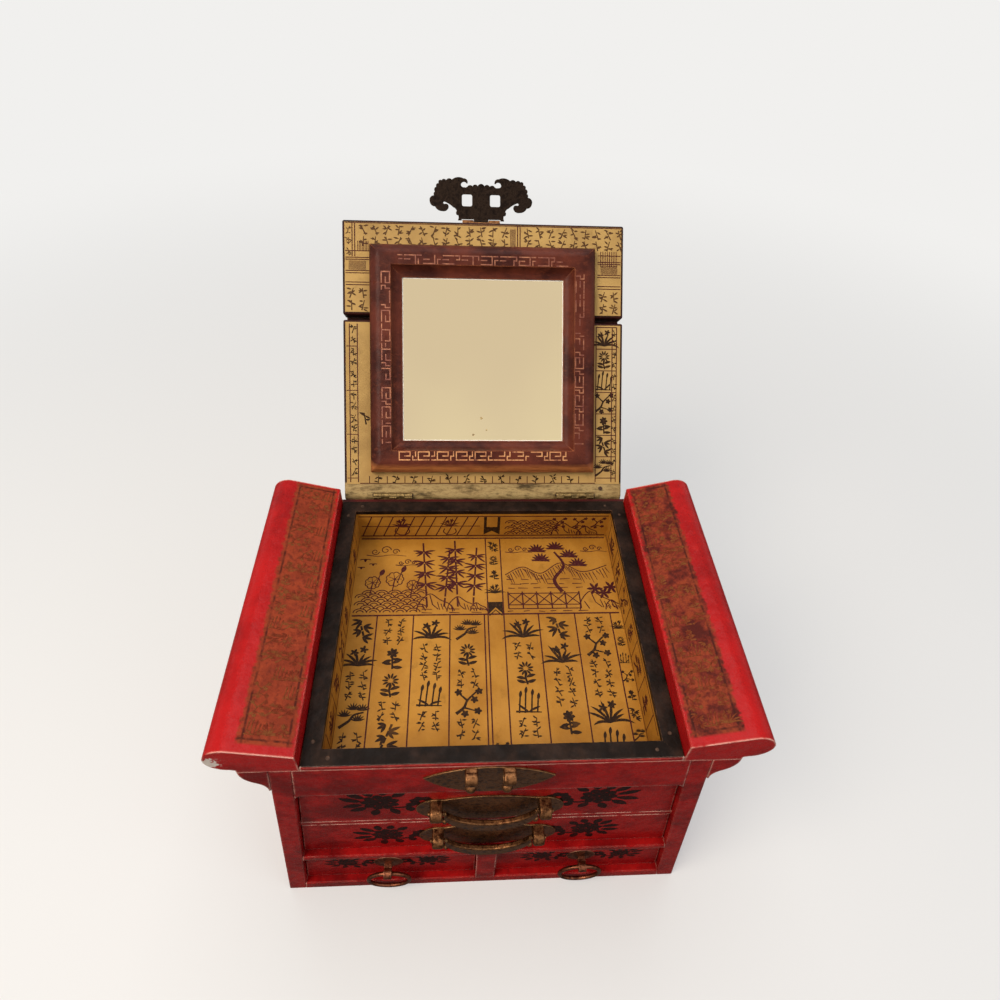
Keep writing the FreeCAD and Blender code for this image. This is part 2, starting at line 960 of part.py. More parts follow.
# Outline of the hasp's right half, from the foot up: distance from its middle line
# and height above its straight foot. Every second point is the middle of an arc.
# It reads as a bat with spread wings, curled horns and a scalloped crown.
hasp_edge = [
    (14.5, -0.8),
    (14.1, 0.9), (14.4, 2.4),
    (15.7, 3.3), (15.3, 4.6),
    (15.9, 6.2), (17.4, 7.2),
    (20.2, 9.3), (23.0, 10.6),
    (23.7, 9.6), (22.4, 8.9),
    (21.0, 8.7), (20.3, 7.3),
    (21.5, 5.3), (24.3, 4.7),
    (27.2, 5.5), (28.9, 7.5),
    (31.0, 8.2), (32.1, 10.2),
    (31.7, 12.8), (29.2, 13.9),
    (29.7, 15.2), (28.6, 16.3),
    (29.3, 17.9), (27.9, 19.2),
    (28.0, 20.8), (26.3, 21.4),
    (26.5, 23.0), (24.7, 23.3),
    (23.4, 24.2), (21.9, 23.5),
    (20.2, 24.6), (18.3, 23.9),
    (14.6, 25.5), (11.0, 24.8),
    (9.0, 24.1), (8.4, 22.6),
    (8.8, 22.1), (9.4, 22.5),
    (11.6, 22.8), (12.6, 21.3),
    (12.2, 19.9), (10.6, 19.4),
    (9.6, 19.3), (8.6, 19.8),
    (7.0, 20.8), (5.4, 20.1),
    (3.7, 21.2), (2.1, 20.3),
]
hasp_crest_h = 21.7
hasp_ear_in = 12.2  # the two small ears hang down past the strip's ends


def hasp_plate():
    low = -hasp_axis_h - hasp_t / 2
    foot_v = hasp_axis_v + hasp_neck

    def at(point, side=1):
        return V(hasp_x + side * point[0], foot_v + point[1], low)

    right = [at(p) for p in hasp_edge]
    left = [at(p, -1) for p in hasp_edge][::-1]
    foot = [
        left[-1],
        at((hasp_ear_in, hasp_edge[0][1]), -1),
        at((hasp_ear_in, 0), -1),
        at((hasp_ear_in, 0)),
        at((hasp_ear_in, hasp_edge[0][1])),
        right[0],
    ]
    edges = [line(a, b) for a, b in zip(foot, foot[1:])]
    edges += [arc(*right[i : i + 3]) for i in range(0, len(right) - 2, 2)]
    edges.append(arc(right[-1], at((0, hasp_crest_h)), left[0]))
    edges += [arc(*left[i : i + 3]) for i in range(0, len(left) - 2, 2)]
    x0, x1 = hasp_knuckles()[1]
    parts = [
        solid_of(edges, V(0, 0, hasp_t)),
        rod(hasp_barrel_r, x0, x1, hasp_axis_v, -hasp_axis_h),
        block(x0, x1, hasp_axis_v, foot_v + hasp_t, low, low + hasp_t),
    ]
    plate = fuse(parts)
    eye_far = math.hypot(eye_drop, eye_out - hasp_gap - hasp_t / 2)
    near = eye_far - eye_r - slot_clear
    far = eye_far + eye_r + slot_clear
    half = eye_w / 2 + slot_side_clear
    slots = []
    for sign in (-1, 1):
        x = hasp_x + sign * eye_spacing / 2
        slot = block(
            x - half,
            x + half,
            hasp_axis_v + near,
            hasp_axis_v + far,
            low - 1,
            low + hasp_t + 1,
        )
        slots.append(
            rounded(slot, slot_round, lambda p, e: is_straight_along(e, V(0, 0, 1)))
        )
    plate = plate.cut(Part.makeCompound(slots)).cut(hasp_bore())
    return on_lid(plate)


def pull_plate(z):
    """The shaped plate behind a bail: an oval with round ends, and a boss under each eye."""
    y0 = face_y - plate_t
    middle = z - pull_plate_drop
    end_x = pull_plate_half - pull_lobe_r
    rise = pull_plate_h / 2
    parts = [oval(pull_oval_half, pull_oval_end_h, rise, rise, middle, y0, face_y)]
    for sign in (-1, 1):
        x = sign * pull_spacing / 2
        parts.append(disc(pull_lobe_r, sign * end_x, middle, y0, face_y))
        parts.append(dome(pull_boss_r, pull_boss_h, x, y0, z - pull_boss_drop))
    plate = fuse(parts)
    for x in (-pull_spacing / 2, pull_spacing / 2):
        plate = plate.cut(tail_hole(x, face_y, z))
    return plate


def pull_eyes(z):
    y = face_y - pull_out
    eye = lug(
        lug_w,
        lug_r,
        2 * lug_r,
        face_y - plate_t,
        face_y,
        y,
        z,
        bail_pin_r + bail_pin_fit,
        lug_round,
    )
    return Part.makeCompound(
        [at_x(eye, x) for x in (-pull_spacing / 2, pull_spacing / 2)]
    )


def bail(z):
    """A flat crescent that hangs from two pins, with a small ball at each shoulder."""
    y = face_y - pull_out
    y0 = y - bail_t / 2
    top = z + bail_rise
    left_in = V(-bail_half, y0, top)
    right_in = V(bail_half, y0, top)
    left_out = V(-bail_half, y0, top - bail_h)
    right_out = V(bail_half, y0, top - bail_h)
    edges = [
        arc(left_in, V(0, y0, z - bail_inner_drop), right_in),
        line(right_in, right_out),
        arc(right_out, V(0, y0, z - bail_inner_drop - bail_h), left_out),
        line(left_out, left_in),
    ]
    crescent = solid_of(edges, V(0, bail_t, 0))
    crescent = rounded(
        crescent, bail_round, lambda p, e: not is_straight_along(e, V(0, 1, 0)) and not
        is_straight_along(e, V(0, 0, 1))
    )
    parts = [crescent]
    end = pull_spacing / 2 + lug_w / 2 + 0.8
    for sign in (-1, 1):
        x0 = min(sign * (bail_half - 1), sign * end)
        x1 = max(sign * (bail_half - 1), sign * end)
        parts.append(rod(bail_pin_r, x0, x1, y, z))
        ball_at = V(sign * (bail_half - bail_ball_inset), y, z - bail_ball_drop)
        parts.append(Part.makeSphere(bail_ball_r, ball_at))
    return fuse(parts)


def drawer_front(left, right, z0, z1):
    corners = [
        V(left(z0), face_y, z0),
        V(right(z0), face_y, z0),
        V(right(z1), face_y, z1),
        V(left(z1), face_y, z1),
    ]
    return prism(corners, V(0, front_t, 0))


def leaning_wall(x_low, x_high, z0, z1, y0, y1, thick):
    """A drawer side that leans with the case. A negative thickness lies to the left."""
    corners = [
        V(x_low, y0, z0),
        V(x_low + thick, y0, z0),
        V(x_high + thick, y0, z1),
        V(x_high, y0, z1),
    ]
    return prism(corners, V(0, y1 - y0, 0))


def drawer_box(left, right, z_open, h_open):
    """Two sides and a back, standing on the drawer's bottom."""
    z0 = z_open + run_gap + drawer_bottom_t
    z1 = z_open + h_open - drawer_side_drop
    y0 = face_y + front_t
    y1 = back - drawer_back_gap
    t = drawer_side_t
    sides = [
        leaning_wall(left(z0), left(z1), z0, z1, y0, y1, t),
        leaning_wall(right(z0), right(z1), z0, z1, y0, y1, -t),
    ]
    corners = [
        V(left(z0) + t, y1 - t, z0),
        V(right(z0) - t, y1 - t, z0),
        V(right(z1) - t, y1 - t, z1),
        V(left(z1) + t, y1 - t, z1),
    ]
    return Part.makeCompound(sides + [prism(corners, V(0, t, 0))])


def drawer_bottom(left, right, z_open):
    z0 = z_open + run_gap
    z1 = z0 + drawer_bottom_t
    y0 = face_y + front_t
    corners = [
        V(left(z0), y0, z0),
        V(right(z0), y0, z0),
        V(right(z1), y0, z1),
        V(left(z1), y0, z1),
    ]
    return prism(corners, V(0, back - drawer_back_gap - y0, 0))


def wide_left(gap):
    return lambda z: -side_in(z) + gap


def wide_right(gap):
    return lambda z: side_in(z) - gap


def upright_side(gap):
    return lambda z: -upright_w / 2 - gap


def with_tail_holes(shape, xs, z):
    for x in xs:
        shape = shape.cut(tail_hole(x, face_y, z))
    return shape


def ring_plate(x, z):
    """A round domed plate, cut for the neck of its eye."""
    plate = dome(ring_plate_r, ring_plate_h, x, face_y, z)
    w = ring_eye_w / 2 + tail_fit
    h = ring_neck_h / 2 + tail_fit
    return plate.cut(
        block(x - w, x + w, face_y - ring_out, face_y + 1, z - h, z + h)
    )


def ring_eye(x, z):
    eye = lug(
        ring_eye_w,
        ring_eye_r,
        ring_neck_h,
        face_y,
        face_y,
        face_y - ring_out,
        z,
        ring_hole_r,
        0,
    )
    return at_x(eye, x)


def ring(x, z):
    return Part.makeTorus(
        ring_mean_r,
        ring_wire_r,
        V(x, face_y - ring_out, z - ring_mean_r),
        V(0, 1, 0),
    )


def wide_drawer(name, z_open, h_open, pull_drop, face):
    z_pull = z_open + h_open - front_gap - pull_drop
    xs = (-pull_spacing / 2, pull_spacing / 2)
    left = wide_left(box_gap)
    right = wide_right(box_gap)
    return {
        name + "_drawer_front": with_tail_holes(face, xs, z_pull),
        name + "_drawer_box": drawer_box(left, right, z_open, h_open),
        name + "_drawer_bottom": drawer_bottom(left, right, z_open),
        name + "_pull_plate": pull_plate(z_pull),
        name + "_pull_eyes": pull_eyes(z_pull),
        name + "_pull_bail": bail(z_pull),
    }


def small_drawer_left():
    z_pull = z_ledge - front_gap - ring_drop
    face = drawer_front(
        wide_left(front_gap),
        upright_side(front_gap),
        base_h + front_gap,
        z_ledge - front_gap,
    )
    left = wide_left(box_gap)
    right = upright_side(box_gap)
    return {
        "drawer_front": with_tail_holes(face, (-ring_x,), z_pull),
        "drawer_box": drawer_box(left, right, base_h, small_h),
        "drawer_bottom": drawer_bottom(left, right, base_h),
        "ring_plate": ring_plate(-ring_x, z_pull),
        "ring_eye": ring_eye(-ring_x, z_pull),
        "ring_pull": ring(-ring_x, z_pull),
    }


nodes = {
    "side_board_left": mirrored(side_board()),
    "side_board_right": side_board(),
    "back_panel": back_panel(),
    "base_board": base_board(),
    "bottom_rail": bottom_rail(),
    "top_rail": drilled_top_rail(),
    "drawer_divider": drawer_divider(),
    "drawer_ledge": drawer_ledge(),
    "centre_upright": centre_upright(),
    "wing_left": mirrored(wing()),
    "wing_right": wing(),
    "corbel_left": mirrored(corbel()),
    "corbel_right": corbel(),
    "well_walls": well_walls(),
    "well_floor": well_floor(),
    "well_lining": well_lining(),
    "rim_frame": rim_frame(),
    "rim_nails": Part.makeCompound(nails(nail_r)),
    "rail_plate": rail_plate(),
    "rail_eyes": rail_eyes(),
    "rail_studs": rail_studs(),
    "lid_hinge_box_leaves": lid_hinge_box_leaves(),
    "lid_hinge_pins": lid_hinge_pins(),
    "lid_hinge_straps": lid_hinge_straps(),
    "lid_rear_leaf": lid_rear_leaf(),
    "lid_rear_paper": lid_rear_paper(),
    "fold_hinge_rear_leaves": fold_leaves(-1, (0, 2)),
    "fold_hinge_pins": fold_hinge_pins(),
    "fold_hinge_front_leaves": fold_leaves(1, (1,)),
    "lid_front_leaf": lid_front_leaf(),
    "lid_front_paper": lid_front_paper(),
    "mirror_frame": mirror_frame(),
    "mirror_glass": mirror_glass(),
    "mirror_backing": mirror_backing(),
    "hasp_hinge": hasp_hinge(),
    "hasp_plate": hasp_plate(),
}
nodes.update(
    wide_drawer(
        "upper",
        z_upper,
        upper_h,
        upper_pull_drop,
        upper_opening(front_gap, face_y, face_y + front_t),
    )
)
nodes.update(
    wide_drawer(
        "middle",
        z_middle,
        middle_h,
        middle_pull_drop,
        drawer_front(
            wide_left(front_gap),
            wide_right(front_gap),
            z_middle + front_gap,
            z_divider - front_gap,
        ),
    )
)
for piece, shape in small_drawer_left().items():
    nodes["left_" + piece] = shape
    nodes["right_" + piece] = mirrored(shape)

for name, shape in nodes.items():
    shape.exportStep("parts/" + name + ".step")
    print(name, len(shape.Solids), round(shape.Volume, 1), shape.isValid())
print(len(nodes), "nodes")
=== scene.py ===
import math
import random

import bmesh
import bpy
from mathutils import Matrix, Vector


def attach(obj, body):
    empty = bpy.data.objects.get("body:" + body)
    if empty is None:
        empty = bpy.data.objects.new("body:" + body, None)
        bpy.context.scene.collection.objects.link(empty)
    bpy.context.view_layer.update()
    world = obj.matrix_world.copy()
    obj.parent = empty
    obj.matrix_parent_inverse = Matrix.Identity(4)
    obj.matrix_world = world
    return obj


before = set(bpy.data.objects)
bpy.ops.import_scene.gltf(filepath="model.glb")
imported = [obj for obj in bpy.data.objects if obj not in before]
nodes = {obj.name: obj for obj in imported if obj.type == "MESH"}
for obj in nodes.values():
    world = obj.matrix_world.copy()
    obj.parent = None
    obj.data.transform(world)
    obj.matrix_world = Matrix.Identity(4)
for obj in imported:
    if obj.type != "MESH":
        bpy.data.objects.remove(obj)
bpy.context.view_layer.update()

MM = 0.001

# Sizes of the box that the painted and printed work follows, in millimetres. On the lid,
# v is a distance up from the hinge's axis and h a height over the leaves' inner side.
lid_axis_y = 86.1
lid_axis_z = 190.0
lid_seat = 0.15
open_turn = math.radians(133.3)
rear_paper_h = -0.3
rear_wood_h = -0.7
paper_half = 85.6
# lip_h, lip_half and lip_v place the dark lip of painted shade in the lid's fold.
lip_h = -9.7
lip_half = 86.3
lip_v = (108.2, 111.7)
well_floor_z = 165.0
well_half = 79.0
well_front_y = -75.5
well_back_y = 72.5
wall_rules_z = (167.0, 184.9)
rim_red_y = (-90.0, -83.65)
# rim_edge_y spans the rim's front arris, where a pale painted highlight goes.
rim_edge_y = (-90.0, -83.2)
drawer_face_y = -79.5
mirror_x = -1.0
mirror_v = 83.8
mirror_half = 69.4
fret_h = 9.4
glass_half = 49.7
glass_h = 3.8
wing_inner = 88.0
wing_edge_z = 200.5
wing_slope = math.radians(15.86)
wing_chip = (-126.2, -83.5, 197.5)
print_thick = 0.05

# Inputs of a node that mixes colours: how much, the one below and the one on top. Plain
# values have the same two at 2 and 3.
SHARE, UNDER, OVER = 0, 6, 7
PLAIN_UNDER, PLAIN_OVER = 2, 3


def linear(code):
    """An sRGB hex colour as the linear colour a shader takes."""
    parts = [int(code[i : i + 2], 16) / 255 for i in (1, 3, 5)]
    return [c / 12.92 if c <= 0.04045 else ((c + 0.055) / 1.055) ** 2.4 for c in parts] + [1.0]


def output(source):
    """A node's output: the named one of a pair, or else the first in use."""
    if isinstance(source, tuple):
        return source[0].outputs[source[1]]
    return [o for o in source.outputs if o.enabled][0]


def add(tree, kind, links=None, stops=(), **settings):
    """Adds a shader node, sets it up, and fills its inputs or links them to an output."""
    made = tree.nodes.new("ShaderNode" + kind)
    for key, value in settings.items():
        setattr(made, key, value)
    for key, value in (links or {}).items():
        source = value[0] if isinstance(value, tuple) else value
        if isinstance(source, bpy.types.Node):
            tree.links.new(output(value), made.inputs[key])
        else:
            made.inputs[key].default_value = linear(value) if isinstance(value, str) else value
    if stops:
        ramp = made.color_ramp.elements
        while len(ramp) < len(stops):
            ramp.new(0.5)
        for element, (place, code) in zip(ramp, stops):
            element.position = place
            element.color = linear(code)
    return made


def patches(tree, size, low, high, most=1.0, least=0.0, rough=0.6, shift=0.0, stretch=None):
    """Soft blotches about size mm across, the measure of all wear and staining here."""
    place = (add(tree, "TexCoord"), "Object")
    if stretch:
        place = add(tree, "Mapping", {"Vector": place, "Scale": stretch})
    cloud = add(
        tree,
        "TexNoise",
        {"Vector": place, "W": shift, "Scale": 1 / (size * MM), "Detail": 6.0, "Roughness": rough},
        noise_dimensions="4D",
    )
    return add(
        tree,
        "MapRange",
        {"Value": cloud, "From Min": low, "From Max": high, "To Min": least, "To Max": most},
        interpolation_type="SMOOTHSTEP",
    )


def edge_wear_and_highlight(tree, reach, size, most, low=0.34, high=0.52):
    """Patches along edges, where the rounded normal turns from the true one: rubbed-bare wear on
    some finishes, and a painted highlight on the lacquers' arrises.
    """
    soft = add(tree, "Bevel", {"Radius": reach * MM}, samples=6)
    true = add(tree, "NewGeometry")
    near = add(tree, "VectorMath", {0: soft, 1: (true, "Normal")}, operation="DOT_PRODUCT")
    worn = patches(tree, size, low, high, most)
    return add(
        tree,
        "MapRange",
        {"Value": near, "From Min": 0.985, "From Max": 0.82, "To Max": worn},
        interpolation_type="SMOOTHSTEP",
    )


def hand_finish(tree, reach, size, depth):
    """Edges eased by reach mm, and a surface with swells of size mm, depth mm high."""
    soft = add(tree, "Bevel", {"Radius": reach * MM}, samples=6)
    swell = patches(tree, size, 0.25, 0.75, rough=0.55)
    return add(
        tree, "Bump", {"Height": swell, "Normal": soft, "Distance": depth * MM, "Strength": 1.0}
    )


def between(tree, value, low, high, soft, most=1.0):
    """1 where a length in mm lies between low and high, with soft ends."""
    rise = add(
        tree,
        "MapRange",
        {"Value": value, "From Min": low - soft, "From Max": low + soft, "To Max": most},
    )
    return add(
        tree,
        "MapRange",
        {"Value": value, "From Min": high + soft, "From Max": high - soft, "To Max": rise},
    )


def millimetres(tree):
    """X, Y and Z of the point being shaded, in millimetres."""
    place = add(tree, "TexCoord")
    scaled = add(tree, "VectorMath", {0: (place, "Object"), "Scale": 1 / MM}, operation="SCALE")
    return add(tree, "SeparateXYZ", {0: scaled})


def bare_tree(owner):
    """The emptied node tree of a material or a world."""
    owner.use_nodes = True
    owner.node_tree.nodes.clear()
    return owner.node_tree


def finish(name, **values):
    """A new material with its shader's plain values set."""
    made = bpy.data.materials.new(name)
    tree = bare_tree(made)
    shader = add(tree, "BsdfPrincipled")
    add(tree, "OutputMaterial", {"Surface": shader})
    for key, value in values.items():
        shader.inputs[key.replace("_", " ").title().replace("Ior", "IOR")].default_value = value
    return made, tree, shader


def wire_up(made, shader, colour, coats, roughness=None, normal=None):
    """Lays the coats over a colour where their masks are, and gives the shader what varies."""
    tree = made.node_tree
    for mask, coat in coats:
        links = {SHARE: mask, UNDER: colour, OVER: coat}
        colour = add(tree, "Mix", links, data_type="RGBA")
    for key, node in (("Base Color", colour), ("Roughness", roughness), ("Normal", normal)):
        if node:
            tree.links.new(output(node), shader.inputs[key])
    return made


def red_coats(tree):
    """Old red lacquer: clouded where it darkened, bright where it thinned, finely cracked."""
    colour = add(
        tree,
        "ValToRGB",
        {"Fac": patches(tree, 34, 0.2, 0.8, rough=0.62)},
        stops=[(0.25, "#6f0b0c"), (0.45, "#8d0f10"), (0.6, "#a41514"), (0.8, "#860d0f")],
    )
    specks = patches(tree, 3.2, 0.5, 0.72, 0.45, rough=0.7)
    thin = patches(tree, 9, 0.55, 0.74, 0.5, rough=0.7, shift=3.0)
    place = add(tree, "TexCoord")
    cells = add(
        tree,
        "TexVoronoi",
        {"Vector": (place, "Object"), "Scale": 1 / (7 * MM)},
        feature="DISTANCE_TO_EDGE",
    )
    some = patches(tree, 40, 0.5, 0.62, 0.5, shift=5.0)
    crack = add(
        tree, "MapRange", {"Value": cells, "From Min": 0.035, "From Max": 0.0, "To Max": some}
    )
    for mask, coat in ((specks, "#5c0909"), (thin, "#c2251b"), (crack, "#430706")):
        links = {SHARE: mask, UNDER: colour, OVER: coat}
        colour = add(tree, "Mix", links, data_type="RGBA")
    return colour


def aged_red_lacquer():
    """Aged oil lacquer brushed on wood: glossy, clouded, with pale lines on its arrises that are
    partly rubbed wear and partly a painted highlight.
    """
    made, tree, shader = finish("aged_red_lacquer", ior=1.5, specular_ior_level=0.07)
    # Pale arris lines: partly rubbed wear, partly a painted highlight of the lamps on the rounded
    # lacquer.
    edge = edge_wear_and_highlight(tree, 1.5, 8.0, 0.85, 0.34, 0.54)
    gloss = patches(tree, 3.2, 0.3, 0.75, 0.42, 0.2)
    surface = hand_finish(tree, 1.0, 7, 0.2)
    return wire_up(made, shader, red_coats(tree), [(edge, "#f0b9a4")], gloss, surface)


def winged_red_lacquer():
    """The wings' lacquer: bright red round the nose, a worn brown panel on the slope that is
    painted lighter on the left as painted light, and pale edge lines that are partly wear and
    partly painted highlight.
    """
    made, tree, shader = finish("winged_red_lacquer", ior=1.5, specular_ior_level=0.09)
    spot = millimetres(tree)
    out = add(tree, "Math", {0: (spot, "X")}, operation="ABSOLUTE")
    along = add(tree, "Math", {0: (spot, "Y")}, operation="ABSOLUTE")
    uneven = patches(tree, 3, 0.3, 0.7, 1.0, -1.0)
    ragged = add(tree, "Math", {0: uneven, 1: out}, operation="ADD")
    upper = between(tree, (spot, "Z"), 199.0, 230.0, 0.4)
    length = between(tree, along, -1.0, 79.5, 0.6, upper)
    panel = between(tree, ragged, 89.4, 112.0, 0.7, length)
    brown = add(
        tree,
        "ValToRGB",
        {"Fac": patches(tree, 11, 0.2, 0.8, rough=0.68)},
        stops=[(0.25, "#4c170f"), (0.45, "#74291a"), (0.6, "#8c3a1f"), (0.78, "#612015")],
    )
    # Painted light: the brown panel is lighter towards the left wing, as if lit from that side.
    lit_left_side = add(
        tree,
        "MapRange",
        {"Value": (spot, "X"), "From Min": 20.0, "From Max": -20.0, "To Max": 0.6},
    )
    dim = patches(tree, 2.4, 0.46, 0.68, 0.6, rough=0.7)
    border = between(tree, out, 90.8, 91.8, 0.25)
    for measure, low, high in ((out, 109.6, 110.6), (along, 76.8, 77.8)):
        line = between(tree, measure, low, high, 0.25)
        border = add(tree, "Math", {0: border, 1: line}, operation="MAXIMUM")
    faint = patches(tree, 5, 0.35, 0.6, 0.8, 0.1)
    border = add(tree, "Math", {0: border, 1: faint}, operation="MULTIPLY")
    for mask, coat in ((lit_left_side, "#933a1e"), (dim, "#42140d"), (border, "#300e08")):
        links = {SHARE: mask, UNDER: brown, OVER: coat}
        brown = add(tree, "Mix", links, data_type="RGBA")
    place = add(tree, "TexCoord")
    tip = add(
        tree,
        "VectorMath",
        {0: (place, "Object"), 1: [part * MM for part in wing_chip]},
        operation="DISTANCE",
    )
    broken = patches(tree, 2.2, 0.3, 0.7, 3 * MM, -3 * MM)
    far = add(tree, "Math", {0: tip, 1: broken}, operation="ADD")
    chip = add(tree, "MapRange", {"Value": far, "From Min": 5.4 * MM, "From Max": 4.4 * MM})
    coats = [
        (patches(tree, 26, 0.35, 0.65, 0.75, 0.25, shift=8.0), "#b41a1a"),
        (panel, brown),
        # Pale edge lines: partly rubbed wear, partly a painted highlight.
        (edge_wear_and_highlight(tree, 1.6, 9.0, 0.95, 0.32, 0.52), "#f0bba6"),
        (chip, "#dccfc2"),
    ]
    gloss = patches(tree, 3.2, 0.3, 0.75, 0.4, 0.2)
    gloss = add(tree, "Mix", {SHARE: panel, PLAIN_UNDER: gloss, PLAIN_OVER: 0.52})
    return wire_up(made, shader, red_coats(tree), coats, gloss, hand_finish(tree, 0.6, 7, 0.26))


def black_rim_lacquer():
    """Black-brown lacquer of the rim: a red front face, a dusty top, arrises rubbed tan, and along
    the front arris a pale line of painted highlight laid in rubbed patches.
    """
    made, tree, shader = finish("black_rim_lacquer", ior=1.5, specular_ior_level=0.06)
    colour = add(
        tree,
        "ValToRGB",
        {"Fac": patches(tree, 12, 0.2, 0.8, rough=0.65)},
        stops=[(0.3, "#150d08"), (0.55, "#211610"), (0.8, "#2e1f17")],
    )
    depth = (millimetres(tree), "Y")
    worn = edge_wear_and_highlight(tree, 1.6, 12.0, 0.95, 0.2, 0.4)
    coats = [
        (patches(tree, 1.3, 0.66, 0.73, 0.6, rough=0.8), "#7d6a55"),
        (between(tree, depth, *rim_red_y, 0.1), red_coats(tree)),
        (edge_wear_and_highlight(tree, 0.6, 7.0, 0.6, 0.42, 0.6), "#8d6448"),
        # The front arris's pale line: painted highlight, in rubbed patches.
        (between(tree, depth, *rim_edge_y, 0.1, worn), "#f0c3b0"),
    ]
    gloss = patches(tree, 5, 0.3, 0.7, 0.5, 0.28)
    return wire_up(made, shader, colour, coats, gloss, hand_finish(tree, 0.5, 5, 0.15))


def oxblood_lacquer():
    """Maroon lacquer of the mirror frame, browned by hands, with a copper tint on its foot that is
    partly rubbed wear and partly a painted highlight of the lamp.
    """
    made, tree, shader = finish("oxblood_lacquer", ior=1.5, specular_ior_level=0.08)
    colour = add(
        tree,
        "ValToRGB",
        {"Fac": patches(tree, 22, 0.2, 0.8)},
        stops=[(0.25, "#381812"), (0.5, "#4d2319"), (0.75, "#5d2b1e")],
    )
    height = (millimetres(tree), "Z")
    streaks = patches(tree, 3.0, 0.3, 0.62, 0.85, 0.15, rough=0.7, stretch=(0.15, 1.0, 1.0))
    coats = [
        (patches(tree, 2.6, 0.5, 0.7, 0.5, rough=0.75, stretch=(0.4, 1.0, 1.0)), "#733a26"),
        # The foot's copper tint: partly rubbed wear, partly painted highlight of the lamp on the
        # frame's foot.
        (between(tree, height, 190.0, 209.0, 1.6, streaks), "#b8733f"),
        (edge_wear_and_highlight(tree, 1.2, 7.0, 0.75), "#a9623c"),
    ]
    gloss = patches(tree, 4, 0.3, 0.7, 0.44, 0.26)
    return wire_up(made, shader, colour, coats, gloss, hand_finish(tree, 0.7, 6, 0.16))


def copper_gilding(name, dull, bright, low, high):
    """Copper-gold paint of the fret, worn through to the frame's lacquer."""
    made, tree, shader = finish(name, metallic=0.3, roughness=0.42)
    gilt = add(
        tree, "ValToRGB", {"Fac": patches(tree, 5, 0.3, 0.7)}, stops=[(0.0, dull), (1.0, bright)]
    )
    gone = patches(tree, 3.4, low, high, 0.95, rough=0.72)
    return wire_up(made, shader, gilt, [(gone, "#6a3123")])


def printed_paper(name, light, deep, stain, low, high):
    """Gold-tinted paper under size and varnish: soft clouds, fibres, foxing and stains."""
    made, tree, shader = finish(name, ior=1.47, specular_ior_level=0.12)
    coats = [
        (patches(tree, 26, 0.3, 0.7), deep),
        (patches(tree, 9, 0.56, 0.76, 0.55, rough=0.66), stain),
        (patches(tree, 0.9, 0.55, 0.75, 0.3, stretch=(0.5, 1.0, 1.0)), deep),
        (patches(tree, 1.8, 0.7, 0.76, 0.6, rough=0.5, shift=4.0), "#5f3a17"),
    ]
    swell = add(
        tree,
        "Bump",
        {"Height": patches(tree, 11, 0.25, 0.75), "Distance": 0.2 * MM, "Strength": 1.0},
    )
    return wire_up(made, shader, light, coats, patches(tree, 14, 0.3, 0.7, high, low), swell)


def block_ink(name, dark, worn, loss):
    """Block-printed ink, thin and uneven where the paper is rubbed."""
    made, tree, shader = finish(name, roughness=0.55, specular_ior_level=0.08)
    thin = patches(tree, 1.6, 0.48, 0.7, loss, rough=0.7)
    rub = patches(tree, 14, 0.56, 0.72, loss)
    lost = add(tree, "Math", {0: thin, 1: rub}, operation="MAXIMUM")
    return wire_up(made, shader, dark, [(lost, worn)])


def aged_brass(name, dark, mid, bright, low, high, gain):
    """Cast and filed brass gone brown with age, bright where fingers rub it."""
    made, tree, shader = finish(name, metallic=1.0)
    colour = add(
        tree,
        "ValToRGB",
        {"Fac": patches(tree, 5, 0.2, 0.8, rough=0.68)},
        stops=[(0.25, dark), (0.52, mid), (0.8, dark)],
    )
    coats = [
        (patches(tree, 0.9, 0.58, 0.72, 0.6, rough=0.7), dark),
        (edge_wear_and_highlight(tree, 0.6, 3.5, gain), bright),
    ]
    gloss = patches(tree, 2.5, 0.3, 0.7, high, low)
    return wire_up(made, shader, colour, coats, gloss, hand_finish(tree, 0.35, 1.6, 0.1))


def planed_poplar():
    """Pale planed wood inside the drawers: grain along the board, darkened by handling."""
    made, tree, shader = finish("planed_poplar", roughness=0.62, specular_ior_level=0.3)
    along = (1.0, 0.06, 1.0)
    coats = [
        (patches(tree, 9, 0.35, 0.65, stretch=along), "#8a5f38"),
        (patches(tree, 1.6, 0.5, 0.72, 0.7, stretch=along), "#6b4526"),
        (patches(tree, 30, 0.55, 0.75, 0.4), "#5f3d22"),
    ]
    return wire_up(made, shader, "#a87c4e", coats, None, hand_finish(tree, 0.4, 1.6, 0.06))


def dark_back_lacquer():
    """Thin brown-red wash on the back and underside, with the grain showing through."""
    made, tree, shader = finish("dark_back_lacquer", roughness=0.5, specular_ior_level=0.12)
    coats = [
        (patches(tree, 30, 0.35, 0.65), "#38100d"),
        (patches(tree, 2.2, 0.48, 0.7, 0.7, stretch=(0.08, 1.0, 1.0)), "#240c09"),
        (edge_wear_and_highlight(tree, 0.8, 6.0, 0.6), "#7a4a33"),
    ]
    return wire_up(made, shader, "#511411", coats, None, hand_finish(tree, 0.5, 2.2, 0.08))


